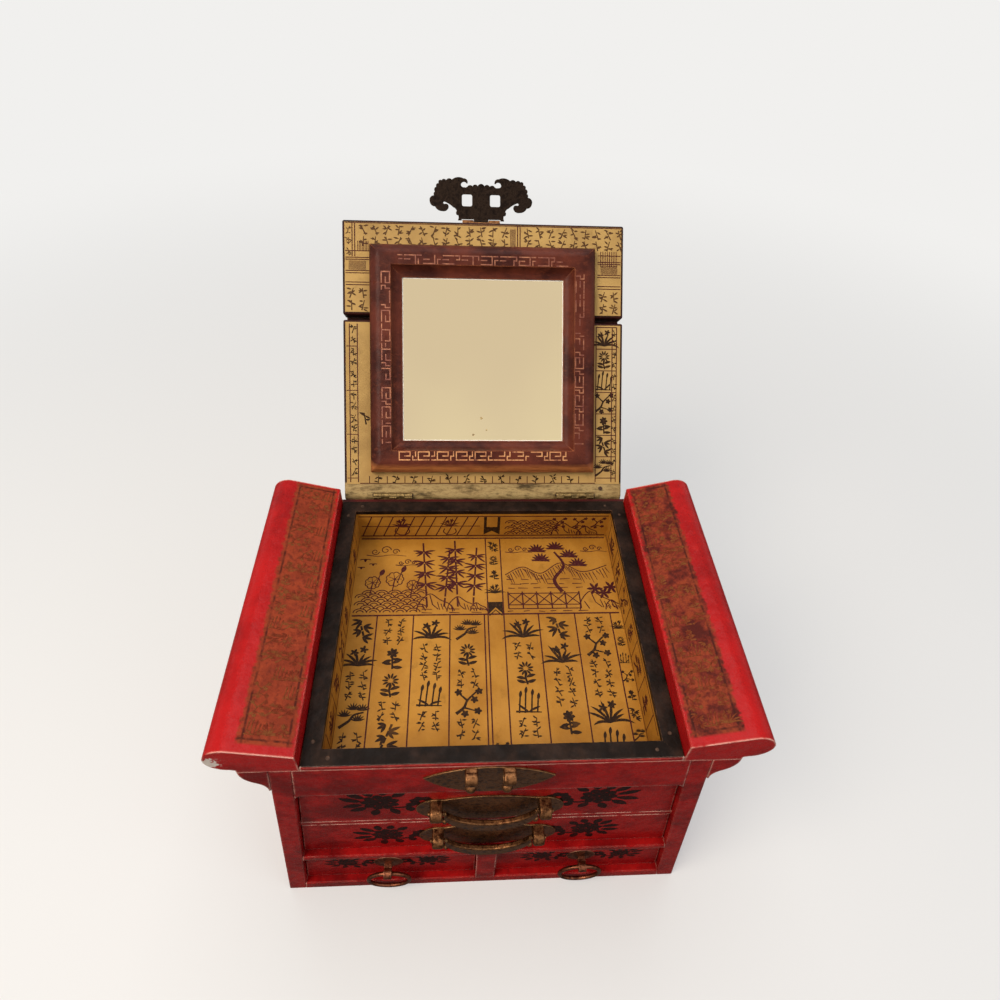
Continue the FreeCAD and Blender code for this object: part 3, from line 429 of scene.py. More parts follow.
def lid_leaf_lacquer():
    """The lid's leaves: red outside, dark edges, and a rounded foot worn to grey-gold wood."""
    made, tree, shader = finish("lid_leaf_lacquer", ior=1.5, specular_ior_level=0.1)
    place = add(tree, "TexCoord")
    hinge = (0.0, lid_axis_y * MM, lid_axis_z * MM)
    from_hinge = add(tree, "VectorMath", {0: (place, "Object"), 1: hinge}, operation="SUBTRACT")
    scaled = add(tree, "VectorMath", {0: from_hinge, "Scale": 1 / MM}, operation="SCALE")
    height, along = [
        add(tree, "VectorMath", {0: scaled, 1: way}, operation="DOT_PRODUCT")
        for way in (lid_out, lid_up)
    ]
    dark = add(
        tree,
        "Mix",
        {SHARE: patches(tree, 8, 0.3, 0.7), UNDER: "#1b0c09", OVER: "#3a1711"},
        data_type="RGBA",
    )
    bare = add(
        tree,
        "ValToRGB",
        {"Fac": patches(tree, 7, 0.2, 0.8, rough=0.7, stretch=(0.35, 1.0, 1.0))},
        stops=[(0.2, "#4a3c26"), (0.42, "#8f764c"), (0.6, "#ad9260"), (0.8, "#6b5838")],
    )
    upper = between(tree, height, -8.6, 20.0, 0.5)
    coats = [
        (between(tree, height, -10.2, 20.0, 0.3), dark),
        (between(tree, along, -20.0, 7.9, 0.25, upper), bare),
        (edge_wear_and_highlight(tree, 1.1, 5.0, 0.5), "#80503a"),
    ]
    gloss = patches(tree, 3, 0.3, 0.75, 0.52, 0.3)
    return wire_up(made, shader, red_coats(tree), coats, gloss, hand_finish(tree, 0.5, 5, 0.25))


def silvered_glass():
    """Silvered mirror glass, warm with age."""
    made, tree, shader = finish("silvered_glass", metallic=1.0, roughness=0.03)
    warm = patches(tree, 110, 0.35, 0.65, rough=0.3)
    return wire_up(made, shader, "#f0dcae", [(warm, "#e2cda6")])


def cut_glass_edge():
    """The ground edge of the mirror glass, coloured near-white as a painted highlight: the fine
    line of light that the edge catches.
    """
    made, tree, shader = finish("cut_glass_edge", roughness=0.2, specular_ior_level=0.6)
    return wire_up(made, shader, "#fdf6e4", [(patches(tree, 6, 0.5, 0.7), "#e6dabd")])


def lost_silver():
    """Small spots where the silver has gone from the glass."""
    made, tree, shader = finish("lost_silver", roughness=0.4)
    return wire_up(made, shader, "#b89b62", [(patches(tree, 0.8, 0.4, 0.6), "#7c6238")])


def wrought_iron():
    """Small iron nails, brown with old rust."""
    made, tree, shader = finish("wrought_iron", metallic=0.8, roughness=0.55)
    return wire_up(made, shader, "#2c211c", [(patches(tree, 0.8, 0.3, 0.7), "#5a4334")])


def faded_paint(name, dark, pale, low, high, roughness):
    """Brushed paint that has faded and rubbed back into the lacquer under it."""
    made, tree, shader = finish(name, roughness=roughness, specular_ior_level=0.05)
    gone = patches(tree, 4.0, low, high, 0.9, rough=0.72)
    return wire_up(made, shader, dark, [(gone, pale)], None, hand_finish(tree, 0.3, 5, 0.1))


lid_up = Vector((0.0, -math.cos(open_turn), math.sin(open_turn)))
lid_out = Vector((0.0, -math.sin(open_turn), -math.cos(open_turn)))

red = aged_red_lacquer()
winged = winged_red_lacquer()
black = black_rim_lacquer()
oxblood = oxblood_lacquer()
# The foot's fret gets the brighter gilding: partly rubbed wear, partly painted light of the lamp
# on the frame's foot.
gilding = copper_gilding("lit_and_rubbed_copper_gilding", "#b06f42", "#d59a62", 0.5, 0.64)
faint_gilding = copper_gilding("faint_copper_gilding", "#7a4029", "#ab6f4a", 0.42, 0.6)
well_paper = printed_paper("varnished_gold_paper", "#b37d2f", "#9c6720", "#785017", 0.36, 0.54)
lid_paper = printed_paper("gold_tinted_paper", "#bb9658", "#a07d48", "#7a5f35", 0.46, 0.62)
ink = block_ink("block_printed_ink", "#27180e", "#6d4720", 0.45)
faded_ink = block_ink("faded_block_ink", "#4e3420", "#82602f", 0.6)
rule_ink = block_ink("red_brown_rule_ink", "#3f1518", "#7d4f28", 0.45)
brass = aged_brass("aged_cast_brass", "#432818", "#7c5435", "#d3a26d", 0.34, 0.54, 0.5)
copper_brass = aged_brass("red_brown_brass", "#4a281c", "#834f38", "#d39a7a", 0.32, 0.5, 0.5)
dull_brass = aged_brass("grey_gold_strap_brass", "#5d4c30", "#8d754b", "#b39a68", 0.5, 0.66, 0.3)
bronze = aged_brass("blackened_brass_sheet", "#17110e", "#241b15", "#5c4a35", 0.42, 0.6, 0.4)
wood = planed_poplar()
back = dark_back_lacquer()
leaf_coat = lid_leaf_lacquer()
silver = silvered_glass()
glass_edge = cut_glass_edge()
spots = lost_silver()
iron = wrought_iron()
flower_paint = faded_paint("blackened_flower_paint", "#1c0807", "#5a0f0d", 0.52, 0.72, 0.36)
panel_paint = faded_paint("rubbed_gilt_paint", "#7d4a26", "#6b2417", 0.36, 0.6, 0.5)


def dress(material, *names):
    """Gives the box's own pieces their finish."""
    for name in names:
        slots = nodes[name].data.materials
        slots.clear()
        slots.append(material)


dress(red, "side_board_left", "side_board_right", "top_rail", "bottom_rail", "drawer_divider")
dress(red, "drawer_ledge", "centre_upright", "corbel_left", "corbel_right")
dress(red, "upper_drawer_front", "middle_drawer_front", "left_drawer_front", "right_drawer_front")
dress(winged, "wing_left", "wing_right")
dress(black, "rim_frame")
dress(oxblood, "mirror_frame")
dress(well_paper, "well_lining")
dress(lid_paper, "lid_rear_paper", "lid_front_paper")
dress(leaf_coat, "lid_rear_leaf", "lid_front_leaf")
dress(silver, "mirror_glass")
dress(iron, "rim_nails", "lid_hinge_pins", "fold_hinge_pins")
dress(back, "back_panel", "base_board")
dress(wood, "well_walls", "well_floor", "mirror_backing")
dress(brass, "rail_plate", "rail_eyes", "rail_studs", "hasp_hinge")
dress(dull_brass, "lid_hinge_straps", "lid_hinge_box_leaves")
dress(bronze, "hasp_plate", "fold_hinge_rear_leaves", "fold_hinge_front_leaves")
for name in nodes:
    if name.endswith(("_box", "_bottom")):
        dress(wood, name)
    elif name.endswith(("_pull_plate", "_pull_eyes", "_pull_bail")):
        dress(brass, name)
    elif name.endswith(("ring_plate", "ring_eye", "ring_pull")):
        dress(copper_brass, name)
for made in nodes.values():
    made.data.shade_smooth()
    made.data.set_sharp_from_angle(angle=math.radians(32))


# Flat work: outlines in millimetres, laid on a face as thin closed solids.


def leaf(x, y, turn, length, width, bend=0.0):
    """An almond leaf from its foot at x, y."""
    left, right = [], []
    count = 7
    for i in range(count + 1):
        t = i / count
        heading = turn + bend * t
        half = 0.5 * width * math.sin(math.pi * t) ** 0.75 if 0 < i < count else 0.0
        left.append((x - half * math.sin(heading), y + half * math.cos(heading)))
        right.append((x + half * math.sin(heading), y - half * math.cos(heading)))
        x += length / count * math.cos(heading)
        y += length / count * math.sin(heading)
    return left + right[-2:0:-1]


def stroke(points, width, tip=None):
    """A brush line through the points, running from width to tip."""
    tip = width if tip is None else tip
    left, right = [], []
    last = len(points) - 1
    for i, (x, y) in enumerate(points):
        ax, ay = points[max(0, i - 1)]
        bx, by = points[min(last, i + 1)]
        run = math.hypot(bx - ax, by - ay) or 1.0
        half = 0.5 * (width + (tip - width) * i / last)
        nx, ny = -(by - ay) / run * half, (bx - ax) / run * half
        left.append((x + nx, y + ny))
        right.append((x - nx, y - ny))
    return left + right[::-1]


def curve(points, count):
    """A smooth line through the points, with count steps from one to the next."""
    smooth = []
    last = len(points) - 1
    for i in range(last):
        before, start, end, after = (
            Vector(points[max(0, min(last, k))]) for k in (i - 1, i, i + 1, i + 2)
        )
        for k in range(count):
            t = k / count
            spot = 2 * start + (end - before) * t
            spot += (2 * before - 5 * start + 4 * end - after) * t * t
            spot += (3 * start - before - 3 * end + after) * t**3
            smooth.append((0.5 * spot.x, 0.5 * spot.y))
    return smooth + [points[-1]]


def bloom(x, y, radius, petals, depth):
    """A round flower with scalloped petals."""
    outline = []
    for i in range(petals * 6):
        a = math.pi * i / (petals * 3)
        r = radius * (1 - depth + depth * abs(math.cos(petals * a / 2)))
        outline.append((x + r * math.cos(a), y + r * math.sin(a)))
    return outline


def bar(x0, x1, y0, y1):
    return [(x0, y0), (x1, y0), (x1, y1), (x0, y1)]


def across_rule(x0, x1, y, width):
    return bar(x0, x1, y - width / 2, y + width / 2)


def up_rule(x, y0, y1, width):
    return bar(x - width / 2, x + width / 2, y0, y1)


def moved(x, y, s, points):
    """Points drawn at size 1 about 0, 0, taken to size s about x, y."""
    return [(x + a * s, y + b * s) for a, b in points]


# Garden plants of the old block books, each drawn in a square of side 1 about 0, 0.


def orchid(rng):
    shapes = []
    for turn in (0.45, 0.75, 1.05, 1.35, 1.75, 2.05, 2.4, 2.7):
        bend = (1.57 - turn) * -0.9 + rng.uniform(-0.3, 0.3)
        shapes.append(leaf(0, -0.45, turn, rng.uniform(0.6, 1.0), 0.11, bend))
    for a, b in ((0.16, 0.3), (-0.2, 0.16)):
        for k in range(5):
            shapes.append(leaf(a, b, k * math.tau / 5 + rng.uniform(-0.2, 0.2), 0.19, 0.1))
    return shapes


def bamboo(rng):
    lean = rng.uniform(-0.12, 0.12)
    shapes = []
    for k in range(4):
        joint = [(lean * (k - 2), -0.5 + k * 0.25), (lean * (k - 1.2), -0.29 + k * 0.25)]
        shapes.append(stroke(joint, 0.09))
    for b, side in ((-0.3, 1), (-0.02, -1), (0.2, 1), (0.44, -1)):
        for turn in (-0.95, -0.35, 0.25):
            heading = turn if side > 0 else math.pi - turn
            shapes.append(leaf(side * 0.03, b, heading, rng.uniform(0.34, 0.5), 0.12, 0.2))
    return shapes


def plum(rng):
    limb = curve([(-0.45, -0.46), (-0.16, -0.22), (-0.02, 0.08), (0.36, 0.46)], 4)
    shapes = [stroke(limb, 0.13, 0.06)]
    shapes.append(stroke([(-0.02, 0.05), (-0.34, 0.36)], 0.09, 0.05))
    shapes.append(stroke([(-0.16, -0.22), (0.3, -0.36)], 0.08, 0.04))
    for a, b in ((-0.36, 0.4), (0.24, 0.1), (0.42, 0.44), (-0.12, -0.46), (0.36, -0.36)):
        turn = rng.uniform(0, 1)
        shapes += [leaf(a, b, turn + k * math.tau / 5, 0.16, 0.11) for k in range(5)]
    return shapes


def aster(rng):
    shapes = []
    for k in range(11):
        turn = k * math.tau / 11 + 0.2
        shapes.append(leaf(0.08 * math.cos(turn), 0.18 + 0.08 * math.sin(turn), turn, 0.25, 0.09))
    shapes.append(stroke([(0, 0.1), (-0.03, -0.2), (0.04, -0.5)], 0.08))
    lower = ((-0.2, 0.5, -0.5), (-0.28, 2.7, 0.5), (-0.4, 0.1, 0.4), (-0.42, 3.0, -0.4))
    shapes += [leaf(0, b, turn, 0.4, 0.14, bend) for b, turn, bend in lower]
    return shapes


def pine(rng):
    limb = curve([(-0.45, -0.48), (-0.1, -0.22), (0.05, 0.0), (0.4, 0.1)], 4)
    shapes = [stroke(limb, 0.12, 0.06)]
    for a, b in ((-0.3, -0.06), (0.0, 0.2), (0.34, 0.16), (0.2, -0.24)):
        shapes += [leaf(a, b, 0.3 + k * 0.42, 0.3, 0.06) for k in range(7)]
    return shapes


def peony(rng):
    shapes = []
    for reach, size, count in ((0.05, 0.19, 7), (0.0, 0.12, 5)):
        for k in range(count):
            turn = k * math.tau / count + rng.uniform(-0.1, 0.1)
            a, b = reach * math.cos(turn), 0.2 + reach * math.sin(turn)
            shapes.append(leaf(a, b, turn, size, 0.13))
    for b, turn in ((-0.04, -0.3), (-0.1, 3.4), (-0.24, 0.3), (-0.3, 2.8), (-0.4, -0.2)):
        shapes.append(leaf(0, b, turn, 0.42, 0.15, 0.3))
    shapes.append(stroke([(0, 0.1), (0.03, -0.5)], 0.08))
    return shapes


def reeds(rng):
    shapes = []
    for a, top in ((-0.32, 0.3), (-0.1, 0.46), (0.14, 0.36), (0.36, 0.2)):
        shapes.append(stroke([(a - 0.04, -0.48), (a + 0.04, top)], 0.06))
        shapes.append(leaf(a + 0.02, top - 0.18, 1.4, 0.32, 0.12))
    shapes.append(stroke([(-0.48, -0.42), (0.48, -0.46)], 0.08, 0.04))
    for turn in (0.5, 2.6):
        shapes.append(leaf(0, -0.42, turn, 0.5, 0.09, rng.uniform(-0.6, 0.6)))
    return shapes


def bud(rng):
    """A twig with narrow leaves, for the small rows."""
    lean = rng.uniform(-0.25, 0.25)
    shapes = [stroke([(-lean, -0.48), (lean, 0.42)], 0.12, 0.08)]
    for turn in rng.sample((0.2, 0.7, 2.4, 2.9, -0.5, 3.7, 0.0, 3.1), 5):
        length = rng.uniform(0.34, 0.54)
        shapes.append(leaf(0, rng.uniform(-0.4, 0.35), turn, length, 0.15))
    return shapes


PLANTS = (orchid, bamboo, plum, aster, pine, peony, reeds)


def planted(kind, x, y, s, rng):
    """A plant of size s about x, y."""
    return [moved(x, y, s, outline) for outline in kind(rng)]


def face(origin, across, up):
    """A frame on a face: across, up and out of it, scaled from millimetres."""
    across, up = Vector(across), Vector(up)
    turn = Matrix((across, up, across.cross(up))).transposed().to_4x4()
    return Matrix.Translation(Vector(origin) * MM) @ turn @ Matrix.Scale(MM, 4)


def lid_face(height):
    start = Vector((0.0, lid_axis_y, lid_axis_z)) + lid_out * (height - lid_seat)
    return face(start, (1.0, 0.0, 0.0), lid_up)


def stand(name, data):
    """A new object in the scene."""
    made = bpy.data.objects.new(name, data)
    bpy.context.scene.collection.objects.link(made)
    return made


def solid(name, made, material):
    """An object of one material, from a finished mesh."""
    mesh = bpy.data.meshes.new(name)
    made.to_mesh(mesh)
    made.free()
    mesh.materials.append(material)
    return stand(name, mesh)


def lay(name, shapes, place, material, body, rng, thick=print_thick):
    """Builds outlines as thin closed solids on a face and gives them to a body."""
    made = bmesh.new()
    for outline in shapes:
        top = thick * rng.uniform(0.8, 1.2)
        low = [made.verts.new(place @ Vector((x, y, 0.0))) for x, y in outline]
        high = [made.verts.new(place @ Vector((x, y, top))) for x, y in outline]
        made.faces.new(low[::-1])
        made.faces.new(high)
        for i in range(len(low)):
            made.faces.new((low[i - 1], low[i], high[i], high[i - 1]))
    bmesh.ops.recalc_face_normals(made, faces=made.faces)
    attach(solid(name, made, material), body)


floor_face = face((0.0, 0.0, well_floor_z), (1.0, 0.0, 0.0), (0.0, 1.0, 0.0))
back_wall_face = face((0.0, well_back_y, 0.0), (1.0, 0.0, 0.0), (0.0, 0.0, 1.0))
left_wall_face = face((-well_half, 0.0, 0.0), (0.0, 1.0, 0.0), (0.0, 0.0, 1.0))
right_wall_face = face((well_half, 0.0, 0.0), (0.0, -1.0, 0.0), (0.0, 0.0, 1.0))
drawer_front_face = face((0.0, drawer_face_y, 0.0), (1.0, 0.0, 0.0), (0.0, 0.0, 1.0))


def well_floor_print():
    """The floor paper: ruled columns of plants, and a strip down the middle."""
    rng = random.Random(11)
    near, far = well_front_y + 1.0, 13.4
    rules = [across_rule(1 - well_half, well_half - 1, far, 1.0)]
    rules += [up_rule(x, near, far, 0.75) for x in (-63.3, -42.5, -21.5, -1.6, 30.0, 51.3, 72.4)]
    rules += [up_rule(x, near, 71.0, 0.75) for x in (0.6, 9.8)]
    # B is one big plant; s is a row of two small twigs.
    columns = (
        (-71.0, "BBsssBss"),
        (-52.9, "sssBBssB"),
        (-32.0, "BssssBss"),
        (-11.6, "BBssBss"),
        (20.0, "BssBBss"),
        (40.6, "BBssssB"),
        (61.8, "ssBssssBB"),
    )
    marks = []
    for x, rows in columns:
        plants = list(PLANTS)
        rng.shuffle(plants)
        y = 11.5
        for k, row in enumerate(rows):
            if row == "B":
                marks += planted(plants[k % 7], x, y - 8.0, 14.0, rng)
                y -= 16.5
            else:
                marks += planted(bud, x - 3.6, y - 3.0, 5.6, rng)
                marks += planted(bud, x + 3.6, y - 3.2, 5.6, rng)
                y -= 5.9
            if y < near + 6:
                break
    for k in range(7):
        marks += planted(PLANTS[(k * 3) % 7], 75.7, 5.0 - k * 11.0, 6.4, rng)
    marks.append([(1.0, 22.0), (9.4, 22.0), (9.4, 13.6), (5.2, 18.2), (1.0, 13.6)])
    marks.append(stroke([(1.4, 12.4), (5.2, 16.4), (9.0, 12.4)], 0.7))
    marks += planted(plum, 5.2, -67.0, 6.5, rng)
    for k in range(4):
        marks += planted(PLANTS[(k * 2 + 1) % 7], 5.2, 64.5 - k * 11.0, 7.6, rng)
    lay("well_floor_rules", rules, floor_face, rule_ink, "cabinet", rng)
    lay("well_floor_plants", marks, floor_face, ink, "cabinet", rng)


def sea_waves(x0, x1, y0, rows, pitch, width):
    """Rows of overlapping arcs, the old sea-wave pattern."""
    turns = [math.pi * i / 8 for i in range(9)]
    shapes = []
    for row in range(rows):
        for k in range(int((x1 - x0) / pitch)):
            x = x0 + (k + 0.5 + (row % 2) / 2) * pitch
            for r in (0.5, 0.26):
                arch = [(r * math.cos(turn), 0.72 * r * math.sin(turn)) for turn in turns]
                shapes.append(stroke(moved(x, y0 + row * pitch * 0.34, pitch, arch), width))
    return shapes


def cloud(x, y, s, width):
    """A drifting cloud: three rolled ends on a long line."""
    shapes = []
    for a, b, r, hand in ((-0.5, 0.0, 0.2, -1), (0.0, 0.1, 0.26, 1), (0.48, 0.0, 0.18, 1)):
        roll = []
        for i in range(19):
            t = i / 18
            wide = r * (1 - 0.8 * t)
            roll.append((a + wide * math.cos(hand * 8.2 * t), b + wide * math.sin(hand * 8.2 * t)))
        shapes.append(stroke(moved(x, y, s, roll), width, width * 0.7))
    line = curve([(-0.9, -0.2), (-0.3, -0.28), (0.3, -0.2), (1.0, -0.28)], 4)
    return shapes + [stroke(moved(x, y, s, line), width, width * 0.5)]


def lath_fence(x0, x1, y0, height, width):
    """A garden fence: posts, three rails and crossed laths."""
    shapes = [across_rule(x0, x1, y0 + share * height, width) for share in (0.0, 0.25, 1.0)]
    count = round((x1 - x0) / (height * 0.8))
    pitch = (x1 - x0) / count
    low, high = y0 + 0.25 * height, y0 + height
    for i in range(count + 1):
        x = x0 + i * pitch
        shapes.append(up_rule(x, y0, y0 + height * 1.12, width * 1.3))
        if i < count:
            shapes.append(stroke([(x, low), (x + pitch, high)], width))
            shapes.append(stroke([(x, high), (x + pitch, low)], width))
    return shapes


def tall_bamboo(x, y, height, lean, rng):
    """A jointed stalk with leaves in threes on its upper half."""
    shapes = []
    for i in range(6):
        foot, top = [(x + lean * k / 6, y + height * k / 6) for k in (i, i + 0.86)]
        shapes.append(stroke([foot, top], 1.1))
        if i > 1:
            for turn in (-0.8, -0.3, 0.2, 3.94, 3.44, 2.94):
                length = rng.uniform(5.5, 8.0)
                shapes.append(leaf(*foot, turn, length, 1.3, rng.uniform(-0.3, 0.3)))
    return shapes


def garden_rock(x, y, s, width):
    outline = curve([(-0.6, 0), (-0.5, 0.4), (-0.15, 0.75), (0.2, 0.5), (0.55, 0.3), (0.65, 0)], 4)
    lines = [outline, [(-0.15, 0.7), (-0.05, 0.3), (0.15, 0.1)], [(-0.42, 0.34), (-0.28, 0.04)]]
    shapes = [stroke(moved(x, y, s, line), width) for line in lines]
    for k in range(4):
        line = [(0.12 + k * 0.12, 0.4 - k * 0.07), (0.2 + k * 0.12, 0.08)]
        shapes.append(stroke(moved(x, y, s, line), width * 0.8))
    return shapes


def garden_pictures():
    """Two plain garden scenes: a pond under bamboo, and a fence, pine and hills."""
    rng = random.Random(23)
    line = 0.65
    shapes = sea_waves(-77.5, -39.0, 15.5, 6, 7.7, line)
    for x, y, r in ((-68.0, 37.0, 4.6), (-55.0, 39.5, 5.4), (-44.0, 35.0, 3.6)):
        shapes.append(stroke([(x, y), (x - 1.0, y - 9.0)], line))
        rim = bloom(x, y, r, 9, 0.14)
        shapes.append(stroke(rim + rim[:1], line))
        for k in range(7):
            turn = k * math.tau / 7
            vein = moved(x, y, 0.8 * r, [(0, 0), (math.cos(turn), math.sin(turn))])
            shapes.append(stroke(vein, 0.5, 0.3))
        shapes.append(stroke([(x + 1.5, y - 3.0), (x + 4.0, y + 6.0)], line))
        shapes.append(leaf(x + 4.0, y + 5.0, 1.2, 5.6, 3.0))
    for x, s in ((-31.0, 17.0), (-15.0, 14.0), (-5.0, 8.0)):
        shapes += garden_rock(x, 15.6, s, line)
    stalks = ((-35.0, 50.0, -4.0), (-25.0, 44.0, 3.0), (-17.0, 52.0, -2.0), (-8.0, 46.0, 3.0))
    for x, height, lean in stalks:
        shapes += tall_bamboo(x, 19.0, height, lean, rng)
    shapes += cloud(-62.0, 61.0, 13.0, line) + cloud(-48.0, 52.0, 8.0, line)
    for x, y, s in ((-74.0, 53.0, 3.2), (-69.0, 50.0, 2.4), (-76.0, 47.5, 2.2)):
        bird = [(-1, 0.5), (-0.3, 0.6), (0, 0), (0.3, 0.6), (1, 0.5)]
        shapes.append(stroke(curve(moved(x, y, s, bird), 3), line))
    shapes += lath_fence(13.0, 56.0, 17.0, 11.0, line)
    shapes += garden_rock(66.0, 15.8, 18.0, line) + garden_rock(76.0, 15.8, 9.0, line)
    hills = [(12.0, 42.0), (23.0, 48.0), (34.0, 43.0), (47.0, 51.0), (60.0, 44.0), (76.0, 49.0)]
    ridge = curve(hills, 8)
    shapes.append(stroke(ridge, line))
    for k, (x, y) in enumerate(ridge[1:-1]):
        drop = 4.0 + 5.0 * abs(math.sin(k * 0.9))
        shapes.append(stroke([(x, y - 1.2), (x + 2.2, y - drop)], line, 0.3))
    trunk = curve([(46.0, 29.0), (42.0, 38.0), (49.0, 49.0), (44.0, 60.0)], 5)
    shapes.append(stroke(trunk, 2.6, 1.3))
    for x, y in ((35.0, 53.0), (53.0, 56.0), (45.0, 62.5), (33.0, 60.5), (58.0, 49.0)):
        shapes += [leaf(x, y, 0.1 + k * 0.42, 6.4, 1.5) for k in range(8)]
        shapes.append(stroke([(x - 5.5, y), (x + 5.5, y - 0.5)], line))
    for x, y in ((66.0, 31.0), (71.0, 28.0), (76.0, 32.0)):
        shapes += [leaf(x, y, k * 1.05, 5.0, 1.8) for k in range(6)]
    shapes += cloud(21.0, 62.0, 9.0, line) + cloud(69.0, 62.5, 9.0, line)
    for y in (15.2, 32.0, 35.0, 38.5):
        for k in range(6):
            x = 13.0 + k * 8.0 + rng.uniform(-2, 2)
            end = (x + rng.uniform(3, 6.5), y + rng.uniform(-0.4, 0.4))
            shapes.append(stroke([(x, y), end], line, 0.4))
    for y in (15.0, 17.5):
        for x in (-38.0, -22.0, -9.0):
            shapes.append(stroke([(x, y), (x + 6.0, y - 0.3)], line, 0.4))
    lay("garden_pictures", shapes, floor_face, rule_ink, "cabinet", rng)
    edge = [across_rule(1 - well_half, well_half - 1, 71.7, 1.0)]
    lay("garden_pictures_rule", edge, floor_face, rule_ink, "cabinet", rng)


def well_wall_prints():
    """The paper turned up the well's walls: paving, a fishtail, water and ruled ends."""
    rng = random.Random(31)
    low, high = wall_rules_z
    shapes = [across_rule(-78.0, 78.0, low, 0.9), across_rule(-78.0, 78.0, high, 0.7)]
    for k in range(11):
        x = -77.0 + k * 6.6
        shapes.append(stroke([(x, 167.4), (x + 7.0, 184.6)], 0.7))
    shapes.append(across_rule(-77.0, -3.0, 176.0, 0.6))
    for x, s in ((-52.0, 9.0), (-22.0, 8.0)):
        pot = [(-0.4, 0.6), (-0.5, 0.2), (-0.2, -0.1), (0.2, -0.1), (0.5, 0.2), (0.4, 0.6)]
        shapes.append(stroke(moved(x, 169.0, s, curve(pot, 3)), 0.7))
        shapes += planted(orchid, x, 179.0, s, rng)
    shapes += sea_waves(13.0, 44.0, 168.0, 5, 7.7, 0.65)
    shapes += garden_rock(52.0, 167.2, 15.0, 0.7) + garden_rock(66.0, 167.2, 11.0, 0.7)
    for x in (47.0, 60.0, 72.0):
        shapes += planted(plum, x, 178.5, 9.0, rng)
    lay("well_back_wall_print", shapes, back_wall_face, rule_ink, "cabinet", rng)
    x0, x1, top, neck, wide = -0.5, 9.7, 184.4, 175.0, 1.7
    fishtail = [(x0, 168.0), (4.6, 171.5), (x1, 168.0), (x1, top), (x1 - wide, top)]
    fishtail += [(x1 - wide, neck), (x0 + wide, neck), (x0 + wide, top), (x0, top)]
    lay("well_back_wall_fishtail", [fishtail], back_wall_face, ink, "cabinet", rng)
    for name, place in (("left", left_wall_face), ("right", right_wall_face)):
        shapes = [across_rule(-74.0, 71.0, high, 0.7), across_rule(-74.0, 71.0, low, 0.7)]
        for k in range(7):
            x = -66.0 + k * 21.0
            shapes.append(up_rule(x, low, 184.6, 0.6))
            if x < 60:
                shapes += planted(PLANTS[k], x + 10.0, 175.8, 12.0, rng)
        lay("well_" + name + "_wall_print", shapes, place, rule_ink, "cabinet", rng)


def front_leaf_print():
    """The lid's upper paper: three fine rows above the mirror, shaded blocks beside it."""
    rng = random.Random(43)
    rules = [across_rule(-paper_half, paper_half, 167.4, 0.5)]
    rules += [up_rule(x, 147.0, 167.3, 0.6) for x in (-81.4, -79.8, 20.5, 22.1)]
    for x0, x1 in ((-paper_half, -71.0), (71.0, paper_half)):
        for v in (150.4, 146.4, 145.2, 138.4, 137.0, 131.4, 129.8):
            rules.append(across_rule(x0, x1, v, 0.55))
        for k in range(9):
            rules.append(across_rule(x0 + 2.0, x1 - 2.0, 139.2 + k * 0.62, 0.3))
    for k in range(8):
        rules.append(up_rule(16.0 + k * 0.45, 148.5, 165.5, 0.22))
        rules.append(up_rule(73.0 + k * 1.4, 143.6, 153.0, 0.45))
        rules.append(up_rule(-78.0 + k * 0.9, 150.6, 156.5, 0.4))
    marks = []
    for row in range(3):
        v = 163.4 - row * 6.9
        for k in range(23):
            x = -74.6 + k * 7.25
            if abs(x - 19.5) > 3.4 and not (row == 2 and abs(x) > 70):
                marks += planted(bud, x, v, 6.6, rng)
        marks += planted(bud, -83.6, v, 4.6, rng)
    for x in (-82.0, -75.0, 74.5, 81.5):
        for v in (125.0, 117.6):
            marks += planted(bud, x, v, 6.8, rng)
    place = lid_face(0.0)
    lay("front_leaf_rules", rules, place, rule_ink, "lid_front", rng)
    lay("front_leaf_marks", marks, place, faded_ink, "lid_front", rng)


def rear_leaf_print():
    """The lid's lower paper: ruled margins of plants, and a fine row under the mirror."""
    rng = random.Random(47)
    rules = [across_rule(-78.0, 70.6, 7.5, 0.5)]
    rules += [up_rule(x, 8.2, 106.2, 0.6) for x in (-83.6, -78.8, 70.6, 80.8, 83.6)]
    marks = planted(bud, -74.4, 48.0, 8.0, rng)
    for k in range(8):
        v = 106.0 - k * 13.6
        rules.append(across_rule(70.6, 83.6, v, 0.55))
        if v > 22:
            marks += planted(PLANTS[(k * 3) % 7], 75.7, v - 6.8, 11.5, rng)
            for side in (3.6, 9.8):
                marks += planted(bud, 82.2, v - side, 4.4, rng)
        if k % 2:
            rules.append(across_rule(-paper_half, -78.8, v, 0.5))
        for side in (3.4, 9.4):
            if v - side > 8.5:
                marks += planted(bud, -81.2, v - side, 4.8, rng)
    for k in range(13):
        x = -72.0 + k * 11.0
        rules.append(up_rule(x, 7.4, 12.0, 0.5))
        if k < 12:
            marks += planted(bud, x + 5.5, 9.9, 5.6, rng)
    place = lid_face(rear_paper_h)
    lay("rear_leaf_rules", rules, place, rule_ink, "lid_rear", rng)
    lay("rear_leaf_marks", marks, place, ink, "lid_rear", rng)
    nail = [bloom(74.0, 4.2, 1.3, 4, 0.06)]
    lay("lid_foot_nail", nail, lid_face(rear_wood_h), iron, "lid_rear", rng, 0.5)


def painted_shade_fold_lip():
    """The rear leaf's thin lip across the gap to the front leaf, standing for the leaves' rebate
    and dark in the leaves' edge colour: painted shade that makes the fold's gap read dark.
    """
    lip = [bar(-lip_half, lip_half, *lip_v)]
    lay("lid_painted_shade_fold_lip", lip, lid_face(lip_h), leaf_coat, "lid_rear", random.Random(2), 0.3)


